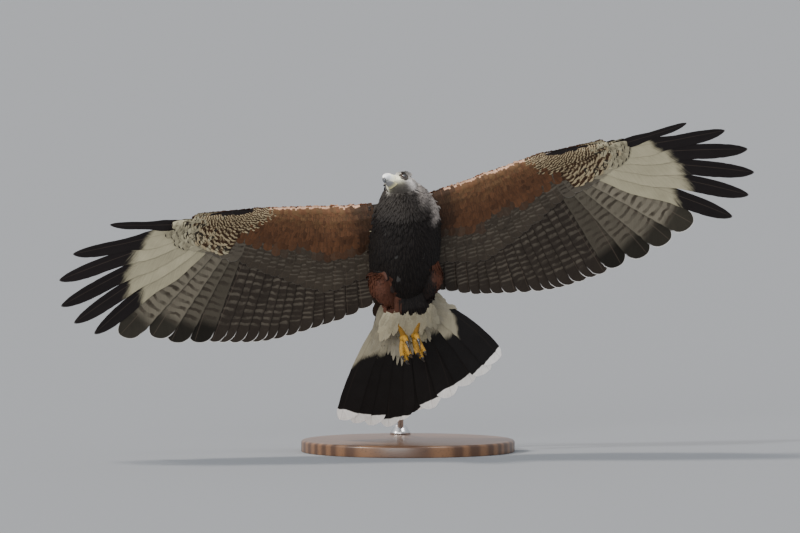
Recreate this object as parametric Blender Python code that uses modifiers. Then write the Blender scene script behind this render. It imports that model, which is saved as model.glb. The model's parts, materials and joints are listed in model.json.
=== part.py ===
"""A young harris hawk soaring overhead, life size, on a plain display stand.

The bird is modelled level in its own frame (x forward, y to its left, z to its
back, origin at the middle of the trunk) and hangs from one empty, which pitches
and banks it on the stand. The stand's frame has +Z up, with the origin at the
centre of the base's underside. All sizes are in metres.
"""
import math

import bmesh
import bpy
from mathutils import Matrix, Vector

MM = 0.001
GAP = 0.3 * MM              # air kept between pieces that touch
GROWTH = 0.35 * MM          # how far a neighbour is swollen before it cuts
VANE_THICKNESS = 0.6 * MM

# How the bird sits on the stand
BODY_PLACE = (0.0, -0.085, 0.308)   # middle of the trunk above the base
VIEW_RISE = 3.0                     # degrees the viewer stands above level
PITCH = 32.0                        # head leans this far towards the viewer
BANK = 15.0                         # left wing lies this much further back
ROLL = 3.0                          # turn about the line of sight

# Stand
BASE_RADIUS = 0.165
BASE_THICKNESS = 0.018
BASE_BEVEL = 0.004
ROD_RADIUS = 0.005
ROD_FOOT = (-0.012, 0.136)          # where the rod leaves the base
ROD_TOP = (0.010, 0.0, 0.020)       # where it ends inside the back, bird frame
SOCKET_RADIUS = 0.016
SOCKET_HEIGHT = 0.014

# Trunk: distance forward, aside, half width, height of back, depth of belly
TRUNK_RINGS = [
    (0.086, 0.001, 0.0470, 0.042, 0.038),
    (0.068, 0.000, 0.0530, 0.044, 0.044),
    (0.036, -0.003, 0.0580, 0.044, 0.050),
    (0.000, -0.006, 0.0580, 0.042, 0.051),
    (-0.035, -0.009, 0.0540, 0.038, 0.047),
    (-0.062, -0.011, 0.0450, 0.032, 0.038),
    (-0.084, -0.012, 0.0310, 0.024, 0.026),
    (-0.098, -0.012, 0.0150, 0.013, 0.012),
]
# Neck: forward, aside, up, half width, half height
NECK_RINGS = [
    (0.086, 0.001, 0.0020, 0.0470, 0.0400),
    (0.098, 0.002, 0.0070, 0.0400, 0.0370),
    (0.109, 0.001, 0.0110, 0.0320, 0.0320),
    (0.118, -0.002, 0.0135, 0.0230, 0.0240),
]

# Head: its middle in the bird's frame and the way it faces, in the viewer's
# right, up and towards directions, because the hawk looks past the viewer
HEAD_PLACE = (0.1172, -0.0026, 0.0118)
HEAD_FACING = (-0.62, 0.38, 0.69)
HEAD_TOP = (0.0, 0.60, -0.80)        # the crown points this way as nearly as it can
# Skull: forward, half width, crown, throat
SKULL_RINGS = [
    (-0.0270, 0.0070, 0.0070, 0.0080),
    (-0.0225, 0.0165, 0.0155, 0.0160),
    (-0.0120, 0.0222, 0.0205, 0.0200),
    (0.0000, 0.0228, 0.0210, 0.0200),
    (0.0100, 0.0205, 0.0188, 0.0182),
    (0.0180, 0.0160, 0.0150, 0.0152),
    (0.0250, 0.0108, 0.0108, 0.0120),
]
EYE_PLACE = (0.0098, 0.0122, 0.0030)
EYE_AXIS = (0.50, 0.86, 0.02)
EYE_RADIUS = 0.0080
LID_THICKNESS = 0.0011
LID_OPENING = (0.0062, 0.0052)      # half length and half height of the opening
BROW_ENDS = ((0.0205, 0.0118, 0.0095), (0.0080, 0.0195, 0.0118), (-0.0040, 0.0205, 0.0105))
BROW_RADII = (0.0018, 0.0030, 0.0016)
# Upper bill with the cere: forward, up, half width, half height, slope down
BILL_RINGS = [
    (0.0250, 0.0010, 0.0096, 0.0092, 0.0),
    (0.0295, 0.0016, 0.0082, 0.0086, 6.0),
    (0.0335, 0.0012, 0.0070, 0.0076, 14.0),
    (0.0378, -0.0008, 0.0056, 0.0062, 30.0),
    (0.0416, -0.0044, 0.0040, 0.0046, 52.0),
    (0.0441, -0.0096, 0.0026, 0.0031, 74.0),
    (0.0442, -0.0150, 0.0006, 0.0008, 92.0),
]
CERE_LENGTH = 0.0085                # from the skull to where the horn begins
LOWER_BILL_RINGS = [
    (0.0215, -0.0098, 0.0082, 0.0022, 0.0),
    (0.0280, -0.0092, 0.0068, 0.0024, 0.0),
    (0.0342, -0.0086, 0.0046, 0.0021, 0.0),
    (0.0382, -0.0082, 0.0018, 0.0010, 0.0),
]
NOSTRIL_PLACE = (0.0300, 0.0082, 0.0040)
NOSTRIL_RADII = (0.0016, 0.0022, 0.0010)
MOUTH_BACK = 0.0060                 # how far back the mouth line runs
MOUTH_HEIGHT = -0.0062
MOUTH_GROOVE = 0.0007
MOUTH_DEPTH = 0.0022

# Wing surface: how high it arches at distances out from the middle line
WING_ARCH = [(0.000, 0.012), (0.045, 0.018), (0.130, 0.030), (0.240, 0.031),
             (0.330, 0.028), (0.440, 0.027), (0.580, 0.036)]
WING_CAMBER = 0.35
CAMBER_START = 0.060
# Fleshy arm, station by station: front edge, rear edge, thickness, rear thickness
ARM_STATIONS = [
    ((0.092, 0.020), (0.020, 0.020), 0.030, 0.010),
    ((0.093, 0.055), (0.014, 0.055), 0.028, 0.010),
    ((0.094, 0.090), (0.002, 0.088), 0.025, 0.010),
    ((0.098, 0.125), (-0.006, 0.122), 0.022, 0.010),
    ((0.105, 0.165), (0.022, 0.158), 0.018, 0.010),
    ((0.112, 0.200), (0.052, 0.200), 0.016, 0.009),
    ((0.117, 0.228), (0.075, 0.238), 0.014, 0.008),
    ((0.118, 0.262), (0.082, 0.264), 0.0115, 0.007),
    ((0.119, 0.295), (0.088, 0.294), 0.0090, 0.006),
    ((0.119, 0.322), (0.098, 0.320), 0.0060, 0.0045),
]
WING_TIP_FRONT = (0.46, 0.125)      # out and forward, where the front edge would end
CHORD_STEPS = [(0.0, 0.0), (0.06, 0.55), (0.22, 0.95), (0.5, 1.0), (0.8, 0.72)]
# The lines that part the arm at elbow and wrist: front edge, notch behind
ELBOW_CUT = ((0.098, 0.120), (-0.112, 0.115))
WRIST_CUT = ((0.117, 0.224), (-0.102, 0.331))

# Flight feathers, left wing and right wing as each is held
PRIMARY_TIPS = {
    1: [(-0.106, 0.346), (-0.096, 0.389), (-0.080, 0.427), (-0.060, 0.466), (-0.063, 0.530),
        (-0.032, 0.559), (0.005, 0.570), (0.049, 0.561), (0.092, 0.525), (0.121, 0.463)],
    -1: [(-0.095, 0.342), (-0.086, 0.379), (-0.071, 0.408), (-0.058, 0.459), (-0.048, 0.497),
         (-0.024, 0.527), (0.009, 0.545), (0.055, 0.545), (0.098, 0.521), (0.140, 0.461)],
}
PRIMARY_ROOTS = ((0.084, 0.250), (0.105, 0.316))
PRIMARY_WIDTH = 0.037
INNER_PRIMARY_WIDTH = 0.042
PRIMARY_LEAD = 0.38                 # share of a primary's width ahead of its shaft
PRIMARY_BOW = 0.005                 # how far a primary's shaft bows forward
OUTER_PRIMARIES = {9: (0.032, 0.36, 0.001), 10: (0.024, 0.46, -0.001)}
HAND_SHIFT = {1: -0.003, -1: 0.005}  # how far the hand's front edge is set forward
HAND_SHIFT_SPAN = (0.200, 0.320)
SECONDARY_WIDTH = 0.037
SECONDARY_LEAD = 0.45
VANE_TILT = 6.5                     # degrees that the leading edge of a vane is raised
FIRST_FINGER = 5                    # primaries from this one out are narrowed
SECONDARY_COUNT = 9
TERTIAL_COUNT = 3
SECONDARY_ROOTS = ((0.076, 0.231), (0.004, 0.127))
TERTIAL_ROOTS = ((0.004, 0.110), (0.022, 0.060))
# Rear edge of the inner wing, from the wrist notch to the body
REAR_EDGE = {
    1: [(-0.114, 0.318), (-0.123, 0.270), (-0.125, 0.228), (-0.118, 0.165), (-0.108, 0.116),
        (-0.086, 0.064)],
    -1: [(-0.101, 0.314), (-0.113, 0.266), (-0.118, 0.222), (-0.114, 0.165), (-0.106, 0.114),
         (-0.085, 0.056)],
}

# Outline of a feather: share of its length, share of its width
ROUND_FEATHER = [(0.0, 0.45), (0.30, 0.86), (0.86, 1.0), (0.96, 0.70), (1.0, 0.24)]
FINGER_FEATHER = [(0.0, 0.34), (0.20, 0.85), (0.42, 1.0), (0.56, 0.66), (0.82, 0.60),
                  (0.95, 0.42), (1.0, 0.07)]
COVERT_FEATHER = [(0.0, 0.72), (0.78, 1.0), (1.0, 0.42)]

# Coverts over and under the flight feathers: how many, how far ahead of the
# flight feathers' roots they start, length, width, height and tilt
GREATER_COVERTS = {"hand": (5, 0.006, 0.066, 0.025, 0.0027, 4.5),
                   "forearm": (7, 0.007, 0.064, 0.034, 0.0043, 4.0),
                   "upper_arm": (3, 0.007, 0.058, 0.027, 0.0043, 4.0)}
MEDIAN_COVERTS = {"hand": (3, 0.016, 0.042, 0.033, 0.0042, 3.0),
                  "forearm": (4, 0.034, 0.060, 0.042, 0.0072, 3.0),
                  "upper_arm": (2, 0.034, 0.058, 0.040, 0.0080, 3.0)}
# Alula: root and tip of each feather on the wrist's front edge, and its height
ALULA = [((0.106, 0.238), (0.1150, 0.322), -0.0004), ((0.106, 0.233), (0.1160, 0.302), 0.0010)]
ALULA_WIDTH = 0.0110

# Tail: a fan of twelve feathers in its own tilted plane. Places on it are
# (distance back, distance to the bird's left) from the tail's root.
TAIL_ROOT = (-0.0725, -0.0120, 0.0080)
TAIL_PITCH = -2.0
TAIL_ROLL = 7.0
# Fleshy root of the tail: distance back, half width, half height
TAIL_MIDDLE = 0.006
TAIL_FLESH = [(-0.012, 0.020, 0.0150), (0.020, 0.034, 0.0140), (0.045, 0.038, 0.0105),
              (0.060, 0.036, 0.0072), (0.068, 0.030, 0.0050)]
TAIL_ROOTS = ((0.014, -0.022), (0.014, 0.034))
TAIL_TIPS = [(0.190, -0.116), (0.203, -0.093), (0.2155, -0.066), (0.227, -0.036), (0.222, -0.012),
             (0.215, 0.006), (0.214, 0.022), (0.216, 0.040), (0.203, 0.073), (0.188, 0.108),
             (0.174, 0.137), (0.156, 0.156)]
TAIL_WIDTH = 0.040
TAIL_BOW = 0.010                    # how far the outermost feathers bow outward
TAIL_STACK = 0.0010                 # each feather lies this much below the next inner one
TAIL_FEATHER = [(0.0, 0.40), (0.30, 0.78), (0.88, 1.0), (0.965, 0.76), (1.0, 0.30)]
# Tail coverts: root, tip, width, height
UNDER_TAIL_COVERTS = [((0.002, -0.022), (0.075, -0.066), 0.030, -0.0072),
                      ((0.002, 0.030), (0.048, 0.090), 0.036, -0.0072),
                      ((0.002, -0.010), (0.098, -0.040), 0.034, -0.0084),
                      ((0.002, 0.018), (0.082, 0.052), 0.036, -0.0084),
                      ((0.002, 0.002), (0.118, -0.004), 0.036, -0.0096)]
UPPER_TAIL_COVERTS = [((0.002, -0.020), (0.066, -0.044), 0.034, 0.0036),
                      ((0.002, 0.032), (0.066, 0.056), 0.034, 0.0036),
                      ((0.002, -0.006), (0.080, -0.014), 0.036, 0.0048),
                      ((0.002, 0.018), (0.080, 0.026), 0.036, 0.0060)]

# Legs, each one the mirror of the other about the line they hang from
LEG_MIDDLE = -0.0125
FOOT_MIDDLE = -0.0150
THIGH_PATH = [(-0.008, 0.0380, -0.018, 0.0190), (-0.034, 0.0400, -0.027, 0.0200),
              (-0.054, 0.0330, -0.034, 0.0155), (-0.069, 0.0255, -0.038, 0.0085)]
TARSUS_PATH = [(-0.062, 0.0290, -0.037, 0.0044), (-0.092, 0.0180, -0.039, 0.0038),
               (-0.117, 0.0098, -0.039, 0.0044)]
FOOT_PLACE = (-0.122, 0.0090, -0.039)
FOOT_RADIUS = 0.0068
# Toes: turn aside in degrees, length, first slope down, bend, claw length
TOES = [
    (7.0, 0.0350, 4.0, 66.0, 0.0175),
    (-9.0, 0.0285, 12.0, 70.0, 0.0180),
    (22.0, 0.0280, 6.0, 64.0, 0.0150),
    (176.0, 0.0180, 58.0, 48.0, 0.0195),
]
TOE_RADII = (0.0048, 0.0034)
CLAW_RADII = (0.0027, 0.0003)
CLAW_BEND = 72.0

COLOURS = {
    "breast": ((0.020, 0.015, 0.012), 0.85, 0.0),
    "neck": ((0.040, 0.031, 0.025), 0.85, 0.0),
    "head": ((0.085, 0.066, 0.052), 0.85, 0.0),
    "wing": ((0.150, 0.055, 0.022), 0.85, 0.0),
    "flight": ((0.055, 0.044, 0.036), 0.80, 0.0),
    "tail": ((0.016, 0.013, 0.012), 0.80, 0.0),
    "thigh": ((0.190, 0.060, 0.024), 0.85, 0.0),
    "scales": ((0.720, 0.420, 0.060), 0.55, 0.0),
    "claw": ((0.012, 0.011, 0.012), 0.35, 0.0),
    "cere": ((0.800, 0.700, 0.260), 0.50, 0.0),
    "horn": ((0.060, 0.066, 0.075), 0.35, 0.0),
    "eye": ((0.035, 0.016, 0.008), 0.08, 0.0),
    "wood": ((0.120, 0.058, 0.026), 0.45, 0.0),
    "steel": ((0.560, 0.560, 0.570), 0.30, 1.0),
}


# Scene helpers

def clear_scene():
    for item in list(bpy.data.objects):
        bpy.data.objects.remove(item, do_unlink=True)


def make_materials():
    materials = {}
    for name, (colour, roughness, metallic) in COLOURS.items():
        material = bpy.data.materials.new(name)
        material.use_nodes = True
        shader = material.node_tree.nodes["Principled BSDF"]
        shader.inputs["Base Color"].default_value = (*colour, 1.0)
        shader.inputs["Roughness"].default_value = roughness
        shader.inputs["Metallic"].default_value = metallic
        material.diffuse_color = (*colour, 1.0)
        materials[name] = material
    return materials


class Model:
    """The collections, materials and the empty that the pieces hang from."""

    def __init__(self):
        scene = bpy.context.scene
        self.pieces = bpy.data.collections.new("harris_hawk")
        self.cutters = bpy.data.collections.new("cutters")
        scene.collection.children.link(self.pieces)
        scene.collection.children.link(self.cutters)
        self.materials = make_materials()
        self.bird = bpy.data.objects.new("bird_frame", None)
        self.bird.matrix_world = bird_matrix()
        self.pieces.objects.link(self.bird)

    def add(self, name, mesh, material, parent=None):
        """A named sub-part from a mesh."""
        piece = bpy.data.objects.new(name, mesh)
        piece.parent = parent
        mesh.materials.clear()
        mesh.materials.append(self.materials[material])
        mesh.shade_smooth()
        mesh.set_sharp_from_angle(angle=math.radians(40.0))
        self.pieces.objects.link(piece)
        bpy.context.view_layer.update()
        return piece

    def cutter(self, name, mesh, parent=None):
        """A piece that only cuts."""
        tool = bpy.data.objects.new(name, mesh)
        tool.parent = parent
        tool.hide_render = True
        tool.display_type = "WIRE"
        self.cutters.objects.link(tool)
        bpy.context.view_layer.update()
        return tool


def viewer_axes():
    """The viewer's right, up and towards directions in the stand's frame."""
    rise = math.radians(VIEW_RISE)
    right = Vector((1.0, 0.0, 0.0))
    up = Vector((0.0, math.sin(rise), math.cos(rise)))
    towards = Vector((0.0, -math.cos(rise), math.sin(rise)))
    return right, up, towards


def bird_matrix():
    """Where the level bird goes: pitched and banked, then rolled in view."""
    pitch, bank = math.radians(PITCH), math.radians(BANK)
    forward = Vector((0.0, math.cos(pitch), math.sin(pitch)))
    left = Vector((math.cos(bank), math.sin(bank) * math.sin(pitch),
                   -math.sin(bank) * math.cos(pitch)))
    back = Vector((-math.sin(bank), math.cos(bank) * math.sin(pitch),
                   -math.cos(bank) * math.cos(pitch)))
    roll = Matrix.Rotation(math.radians(ROLL), 3, "Z")
    view = Matrix(viewer_axes()).transposed()
    turned = Matrix([view @ (roll @ axis) for axis in (forward, left, back)]).transposed()
    return Matrix.Translation(BODY_PLACE) @ turned.to_4x4()


# Mesh helpers

def curve_through(rows, steps):
    """Rows of numbers on a smooth curve through the given rows."""
    found = []
    last = len(rows) - 1
    for index in range(last):
        before = rows[max(index - 1, 0)]
        start, end = rows[index], rows[index + 1]
        after = rows[min(index + 2, last)]
        for step in range(steps):
            t = step / steps
            found.append(tuple(
                0.5 * (2 * b + (c - a) * t + (2 * a - 5 * b + 4 * c - d) * t ** 2
                       + (3 * b - a - 3 * c + d) * t ** 3)
                for a, b, c, d in zip(before, start, end, after)))
    found.append(tuple(rows[-1]))
    return found


def value_at(table, position):
    """Read a table of (position, value) pairs in straight steps."""
    if position <= table[0][0]:
        return table[0][1]
    for (x0, y0), (x1, y1) in zip(table, table[1:]):
        if position <= x1:
            t = (position - x0) / (x1 - x0)
            return y0 + (y1 - y0) * t
    return table[-1][1]


def mesh_from(build, name):
    """Run a function that fills a bmesh, and return the closed mesh."""
    work = bmesh.new()
    build(work)
    bmesh.ops.recalc_face_normals(work, faces=work.faces)
    mesh = bpy.data.meshes.new(name)
    work.to_mesh(mesh)
    work.free()
    return mesh


def loft(rings, name):
    """A closed skin over rings of points; a ring of one point is a pole."""
    def build(work):
        loops = [[work.verts.new(point) for point in ring] for ring in rings]
        for first, second in zip(loops, loops[1:]):
            count = max(len(first), len(second))
            for i in range(count):
                j = (i + 1) % count
                corners = [first[i % len(first)], first[j % len(first)],
                           second[j % len(second)], second[i % len(second)]]
                work.faces.new(list(dict.fromkeys(corners)))
        for end in (loops[0], loops[-1]):
            if len(end) > 2:
                work.faces.new(end)
    return mesh_from(build, name)


def oval(centre, across, upward, half_width, top, bottom, count):
    """A ring in the plane of two directions, with its own top and bottom."""
    ring = []
    for index in range(count):
        angle = 2 * math.pi * index / count
        rise = math.sin(angle)
        height = rise * (top if rise > 0 else bottom)
        ring.append(centre + across * (half_width * math.cos(angle)) + upward * height)
    return ring


def tube(path, sides, name, steps=2, flatten=1.0, closed_ends=True):
    """A round limb along rows of x, y, z and radius, with domed ends."""
    rows = curve_through(path, steps)
    points = [Vector(row[:3]) for row in rows]
    rings = []
    for index, row in enumerate(rows):
        before = points[max(index - 1, 0)]
        after = points[min(index + 1, len(points) - 1)]
        along = (after - before).normalized()
        across = along.cross(Vector((0.0, 0.0, 1.0))).normalized()
        upward = across.cross(along)
        rings.append(oval(points[index], across, upward, row[3], row[3] * flatten,
                          row[3] * flatten, sides))
    if closed_ends:
        start, end = points[0], points[-1]
        rings.insert(0, [start - (points[1] - start).normalized() * rows[0][3] * 0.6])
        rings.append([end + (end - points[-2]).normalized() * rows[-1][3] * 0.6])
    return loft(rings, name)


def plate(rows, thickness, name):
    """A thin curved plate over a grid of points, cut alike on both faces."""
    def normal_at(i, j):
        down = rows[min(i + 1, len(rows) - 1)][j] - rows[max(i - 1, 0)][j]
        over = rows[i][min(j + 1, len(rows[i]) - 1)] - rows[i][max(j - 1, 0)]
        found = down.cross(over).normalized()
        return found if found.z > 0 else -found

    def build(work):
        top, bottom = [], []
        for i, row in enumerate(rows):
            shift = [normal_at(i, j) * thickness / 2 for j in range(len(row))]
            top.append([work.verts.new(p + s) for p, s in zip(row, shift)])
            bottom.append([work.verts.new(p - s) for p, s in zip(row, shift)])
        last_row, last_column = len(rows) - 1, len(rows[0]) - 1
        for i in range(last_row):
            for j in range(last_column):
                for face in (top, bottom):
                    work.faces.new((face[i][j], face[i + 1][j], face[i + 1][j + 1]))
                    work.faces.new((face[i][j], face[i + 1][j + 1], face[i][j + 1]))
        rim = [(i, 0) for i in range(last_row)]
        rim += [(last_row, j) for j in range(last_column)]
        rim += [(i, last_column) for i in range(last_row, 0, -1)]
        rim += [(0, j) for j in range(last_column, 0, -1)]
        for (i, j), (m, n) in zip(rim, rim[1:] + rim[:1]):
            work.faces.new((top[i][j], top[m][n], bottom[m][n], bottom[i][j]))
    return mesh_from(build, name)


def placed(mesh, matrix):
    mesh.transform(matrix)
    return mesh


def ball(radii, place, name, segments=16, rings=10):
    """An ellipsoid."""
    work = bmesh.new()
    bmesh.ops.create_uvsphere(work, u_segments=segments, v_segments=rings, radius=1.0)
    mesh = bpy.data.meshes.new(name)
    work.to_mesh(mesh)
    work.free()
    return placed(mesh, Matrix.Translation(place) @ Matrix.Diagonal((*radii, 1.0)))


def swollen(mesh, growth, name):
    """A copy with each point moved out along its normal."""
    work = bmesh.new()
    work.from_mesh(mesh)
    work.normal_update()
    moves = [(vert, vert.normal.copy()) for vert in work.verts]
    for vert, normal in moves:
        vert.co += normal * growth
    grown = bpy.data.meshes.new(name)
    work.to_mesh(grown)
    work.free()
    return grown


# Boolean helpers

def largest_surface(mesh):
    """Keep only the biggest closed surface of a mesh."""
    work = bmesh.new()
    work.from_mesh(mesh)
    bmesh.ops.triangulate(work, faces=work.faces)
    unseen = set(work.faces)
    groups = []
    while unseen:
        stack = [unseen.pop()]
        group = []
        while stack:
            face = stack.pop()
            group.append(face)
            for edge in face.edges:
                for other in edge.link_faces:
                    if other in unseen:
                        unseen.remove(other)
                        stack.append(other)
        groups.append(group)
    groups.sort(key=lambda group: sum(face.calc_area() for face in group), reverse=True)
    scraps = [face for group in groups[1:] for face in group]
    bmesh.ops.delete(work, geom=scraps, context="FACES")
    loose = [vert for vert in work.verts if not vert.link_faces]
    bmesh.ops.delete(work, geom=loose, context="VERTS")
    work.to_mesh(mesh)
    work.free()


def apply_boolean(piece, operation, solver, tool=None, tools=None):
    """Run one Boolean on a piece and keep its largest closed surface."""
    modifier = piece.modifiers.new("shape", "BOOLEAN")
    modifier.operation = operation
    modifier.solver = solver
    if tools is not None:
        modifier.operand_type = "COLLECTION"
        modifier.collection = tools
    else:
        modifier.object = tool
    bpy.context.view_layer.update()
    depsgraph = bpy.context.evaluated_depsgraph_get()
    result = bpy.data.meshes.new_from_object(piece.evaluated_get(depsgraph))
    piece.modifiers.clear()
    piece.data = result
    largest_surface(result)


def join_all(piece, meshes, solver="EXACT"):
    """Fuse closed meshes into a piece with one union."""
    joined = bpy.data.collections.new("joined")
    bpy.context.scene.collection.children.link(joined)
    for index, mesh in enumerate(meshes):
        extra = bpy.data.objects.new("extra_%d" % index, mesh)
        extra.parent = piece.parent
        joined.objects.link(extra)
    apply_boolean(piece, "UNION", solver, tools=joined)
    for extra in list(joined.objects):
        bpy.data.objects.remove(extra, do_unlink=True)
    bpy.data.collections.remove(joined)


def cut_by(model, piece, mesh, parent, solver="EXACT"):
    """Cut a piece with a closed mesh."""
    tool = model.cutter(piece.name + "_cutter", mesh, parent)
    apply_boolean(piece, "DIFFERENCE", solver, tool=tool)
    bpy.data.objects.remove(tool, do_unlink=True)


def cut_clear(model, piece, neighbour, solver="EXACT"):
    """Cut a piece back until a small gap parts it from its neighbour."""
    grown = swollen(neighbour.data, GROWTH, neighbour.name + "_grown")
    cut_by(model, piece, grown, neighbour.parent, solver)


# Trunk, neck and head

def make_torso(model):
    rings = []
    for forward, aside, half_width, top, bottom in curve_through(TRUNK_RINGS, 2):
        rings.append(oval(Vector((forward, aside, 0.0)), Vector((0.0, 1.0, 0.0)),
                          Vector((0.0, 0.0, 1.0)), half_width, top, bottom, 20))
    rings.append([Vector((TRUNK_RINGS[-1][0] - 0.004, TRUNK_RINGS[-1][1], 0.0))])
    return model.add("torso", loft(rings, "torso"), "breast", model.bird)


def make_neck(model):
    rings = []
    for forward, aside, up, half_width, half_height in curve_through(NECK_RINGS, 2):
        centre = Vector((forward, aside, up))
        rings.append(oval(centre, Vector((0.0, 1.0, 0.0)), Vector((0.0, 0.0, 1.0)),
                          half_width, half_height, half_height, 20))
    shift = Matrix.Translation((GAP, 0.0, 0.0))
    return model.add("neck", placed(loft(rings, "neck"), shift), "neck", model.bird)


def head_matrix(model):
    """The head's frame (x to the bill, z to the crown) inside the bird's."""
    right, up, towards = viewer_axes()
    facing = right * HEAD_FACING[0] + up * HEAD_FACING[1] + towards * HEAD_FACING[2]
    forward = (model.bird.matrix_world.to_3x3().transposed() @ facing).normalized()
    level = right * HEAD_TOP[0] + up * HEAD_TOP[1] + towards * HEAD_TOP[2]
    crown_hint = model.bird.matrix_world.to_3x3().transposed() @ level
    aside = crown_hint.cross(forward).normalized()
    crown = forward.cross(aside)
    turned = Matrix((forward, aside, crown)).transposed()
    return Matrix.Translation(HEAD_PLACE) @ turned.to_4x4()


def mirrored(place, side):
    return Vector((place[0], place[1] * side, place[2]))


def bill_loft(rows, name, sides=14, steps=2):
    """A curved cone of oval sections that lean with the bill."""
    rings = []
    for forward, up, half_width, half_height, slope in curve_through(rows, steps):
        lean = math.radians(slope)
        upward = Vector((math.sin(lean), 0.0, math.cos(lean)))
        rings.append(oval(Vector((forward, 0.0, up)), Vector((0.0, 1.0, 0.0)), upward,
                          half_width, half_height, half_height * 0.8, sides))
    return loft(rings, name)


def eye_frame(side):
    """A frame on the eyeball whose z axis looks out of the eye."""
    out = mirrored(EYE_AXIS, side).normalized()
    along = Vector((0.0, 0.0, 1.0)).cross(out).normalized()
    up = out.cross(along)
    turned = Matrix((along, up, out)).transposed()
    return Matrix.Translation(mirrored(EYE_PLACE, side)) @ turned.to_4x4()


def lid_opening(side):
    """A rounded prism that opens the lids in front of the eyeball."""
    half_long, half_high = LID_OPENING
    across, upward = Vector((1.0, 0.0, 0.0)), Vector((0.0, 1.0, 0.0))
    rings = [oval(Vector((0.0, 0.0, depth)), across, upward, half_long, half_high, half_high, 14)
             for depth in (EYE_RADIUS * 0.3, EYE_RADIUS * 2.0)]
    return placed(loft(rings, "opening"), eye_frame(side))


def make_head(model):
    frame = head_matrix(model)
    rings = []
    for forward, half_width, top, bottom in curve_through(SKULL_RINGS, 2):
        rings.append(oval(Vector((forward, 0.0, 0.0)), Vector((0.0, 1.0, 0.0)),
                          Vector((0.0, 0.0, 1.0)), half_width, top, bottom, 18))
    rings.insert(0, [Vector((SKULL_RINGS[0][0] - 0.001, 0.0, 0.0))])
    skull = placed(loft(rings, "head"), frame)
    grown_skull = swollen(skull, GROWTH, "grown_skull")
    head = model.add("head", skull, "head", model.bird)
    extras = []
    lid = EYE_RADIUS + LID_THICKNESS
    for side in (1, -1):
        extras.append(ball((lid, lid, lid), mirrored(EYE_PLACE, side), "lid", 12, 7))
        path = [(*mirrored(end, side), radius) for end, radius in zip(BROW_ENDS, BROW_RADII)]
        extras.append(tube(path, 7, "brow"))
    extras = [placed(mesh, frame) for mesh in extras]
    around_head = [grown_skull] + [swollen(mesh, GROWTH, "grown_lid") for mesh in extras]
    join_all(head, extras)
    for side, name in ((1, "eye_left"), (-1, "eye_right")):
        socket = EYE_RADIUS + GAP
        hollow = ball((socket, socket, socket), mirrored(EYE_PLACE, side), "socket", 12, 7)
        tool = model.cutter("eye_cutter", hollow)
        join_all(tool, [lid_opening(side)])
        hollow = placed(tool.data, frame)
        bpy.data.objects.remove(tool, do_unlink=True)
        cut_by(model, head, hollow, model.bird)
        eye = ball((EYE_RADIUS,) * 3, mirrored(EYE_PLACE, side), name, 12, 8)
        model.add(name, placed(eye, frame), "eye", model.bird)
        groove = ball((0.0105, MOUTH_DEPTH, MOUTH_GROOVE),
                      Vector((MOUTH_BACK + 0.0100, side * 0.0150, MOUTH_HEIGHT)), "groove", 10, 6)
        turn = Matrix.Rotation(math.radians(-side * 32.0), 4, "Z")
        centre = Matrix.Translation((MOUTH_BACK + 0.0100, side * 0.0150, 0.0))
        cut_by(model, head, placed(groove, frame @ centre @ turn @ centre.inverted()), model.bird)
    return around_head


def make_bill(model, grown_skull):
    frame = head_matrix(model)
    bend = SKULL_RINGS[-1][0] + CERE_LENGTH
    big = 0.05

    upper = model.add("bill_upper", placed(bill_loft(BILL_RINGS, "bill_upper"), frame), "horn",
                      model.bird)
    cere = model.add("cere", placed(bill_loft(BILL_RINGS, "cere"), frame), "cere", model.bird)
    cut_by(model, upper, placed(block((-big, -big, -big), (bend + GAP / 2, big, big)), frame),
           model.bird)
    cut_by(model, cere, placed(block((bend - GAP / 2, -big, -big), (2 * big, big, big)), frame),
           model.bird)
    cut_by(model, cere, grown_skull, model.bird)
    for side in (1, -1):
        nostril = ball(NOSTRIL_RADII, mirrored(NOSTRIL_PLACE, side), "nostril", 10, 8)
        cut_by(model, cere, placed(nostril, frame), model.bird)
    lower = model.add("bill_lower", placed(bill_loft(LOWER_BILL_RINGS, "bill_lower", 12), frame),
                      "horn", model.bird)
    cut_by(model, lower, grown_skull, model.bird)
    for neighbour in (upper, cere):
        cut_clear(model, lower, neighbour)


def block(low, high):
    """A box between two corners."""
    work = bmesh.new()
    bmesh.ops.create_cube(work, size=1.0)
    mesh = bpy.data.meshes.new("block")
    work.to_mesh(mesh)
    work.free()
    low, high = Vector(low), Vector(high)
    size = Matrix.Diagonal((*(high - low), 1.0))
    return placed(mesh, Matrix.Translation((low + high) / 2) @ size)


# Wings

def wing_height(forward, out):
    """Height of the wing's middle surface above the bird's level plane."""
    front = value_at([(s[0][1], s[0][0]) for s in ARM_STATIONS] + [WING_TIP_FRONT], out)
    behind = max(0.0, front - forward - CAMBER_START)
    return value_at(WING_ARCH, out) - WING_CAMBER * behind ** 2


def on_wing(forward, out, side, lift=0.0):
    return Vector((forward, side * out, wing_height(forward, out) + lift))


def hand_shift(out, side):
    """The front edge of the hand is held a little differently on each side."""
    start, end = HAND_SHIFT_SPAN
    share = min(max((out - start) / (end - start), 0.0), 1.0)
    return HAND_SHIFT[side] * share * share * (3 - 2 * share)


def arm_flesh(side):
    """The arm's aerofoil, from inside the trunk to the end of the hand."""
    rings = []
    rows = [(*front, *rear, thick, thin) for front, rear, thick, thin in ARM_STATIONS]
    for front_f, front_l, rear_f, rear_l, thick, thin in rows:
        ring = []
        front_f += hand_shift(front_l, side)
        outline = [(c, share * thick / 2) for c, share in CHORD_STEPS] + [(1.0, thin / 2)]
        for sign, part in ((1, outline), (-1, outline[:0:-1])):
            for c, half in part:
                forward = front_f + (rear_f - front_f) * c
                out = front_l + (rear_l - front_l) * c
                ring.append(on_wing(forward, out, side, sign * half))
        rings.append(ring)
    return loft(rings, "flesh")


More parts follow.
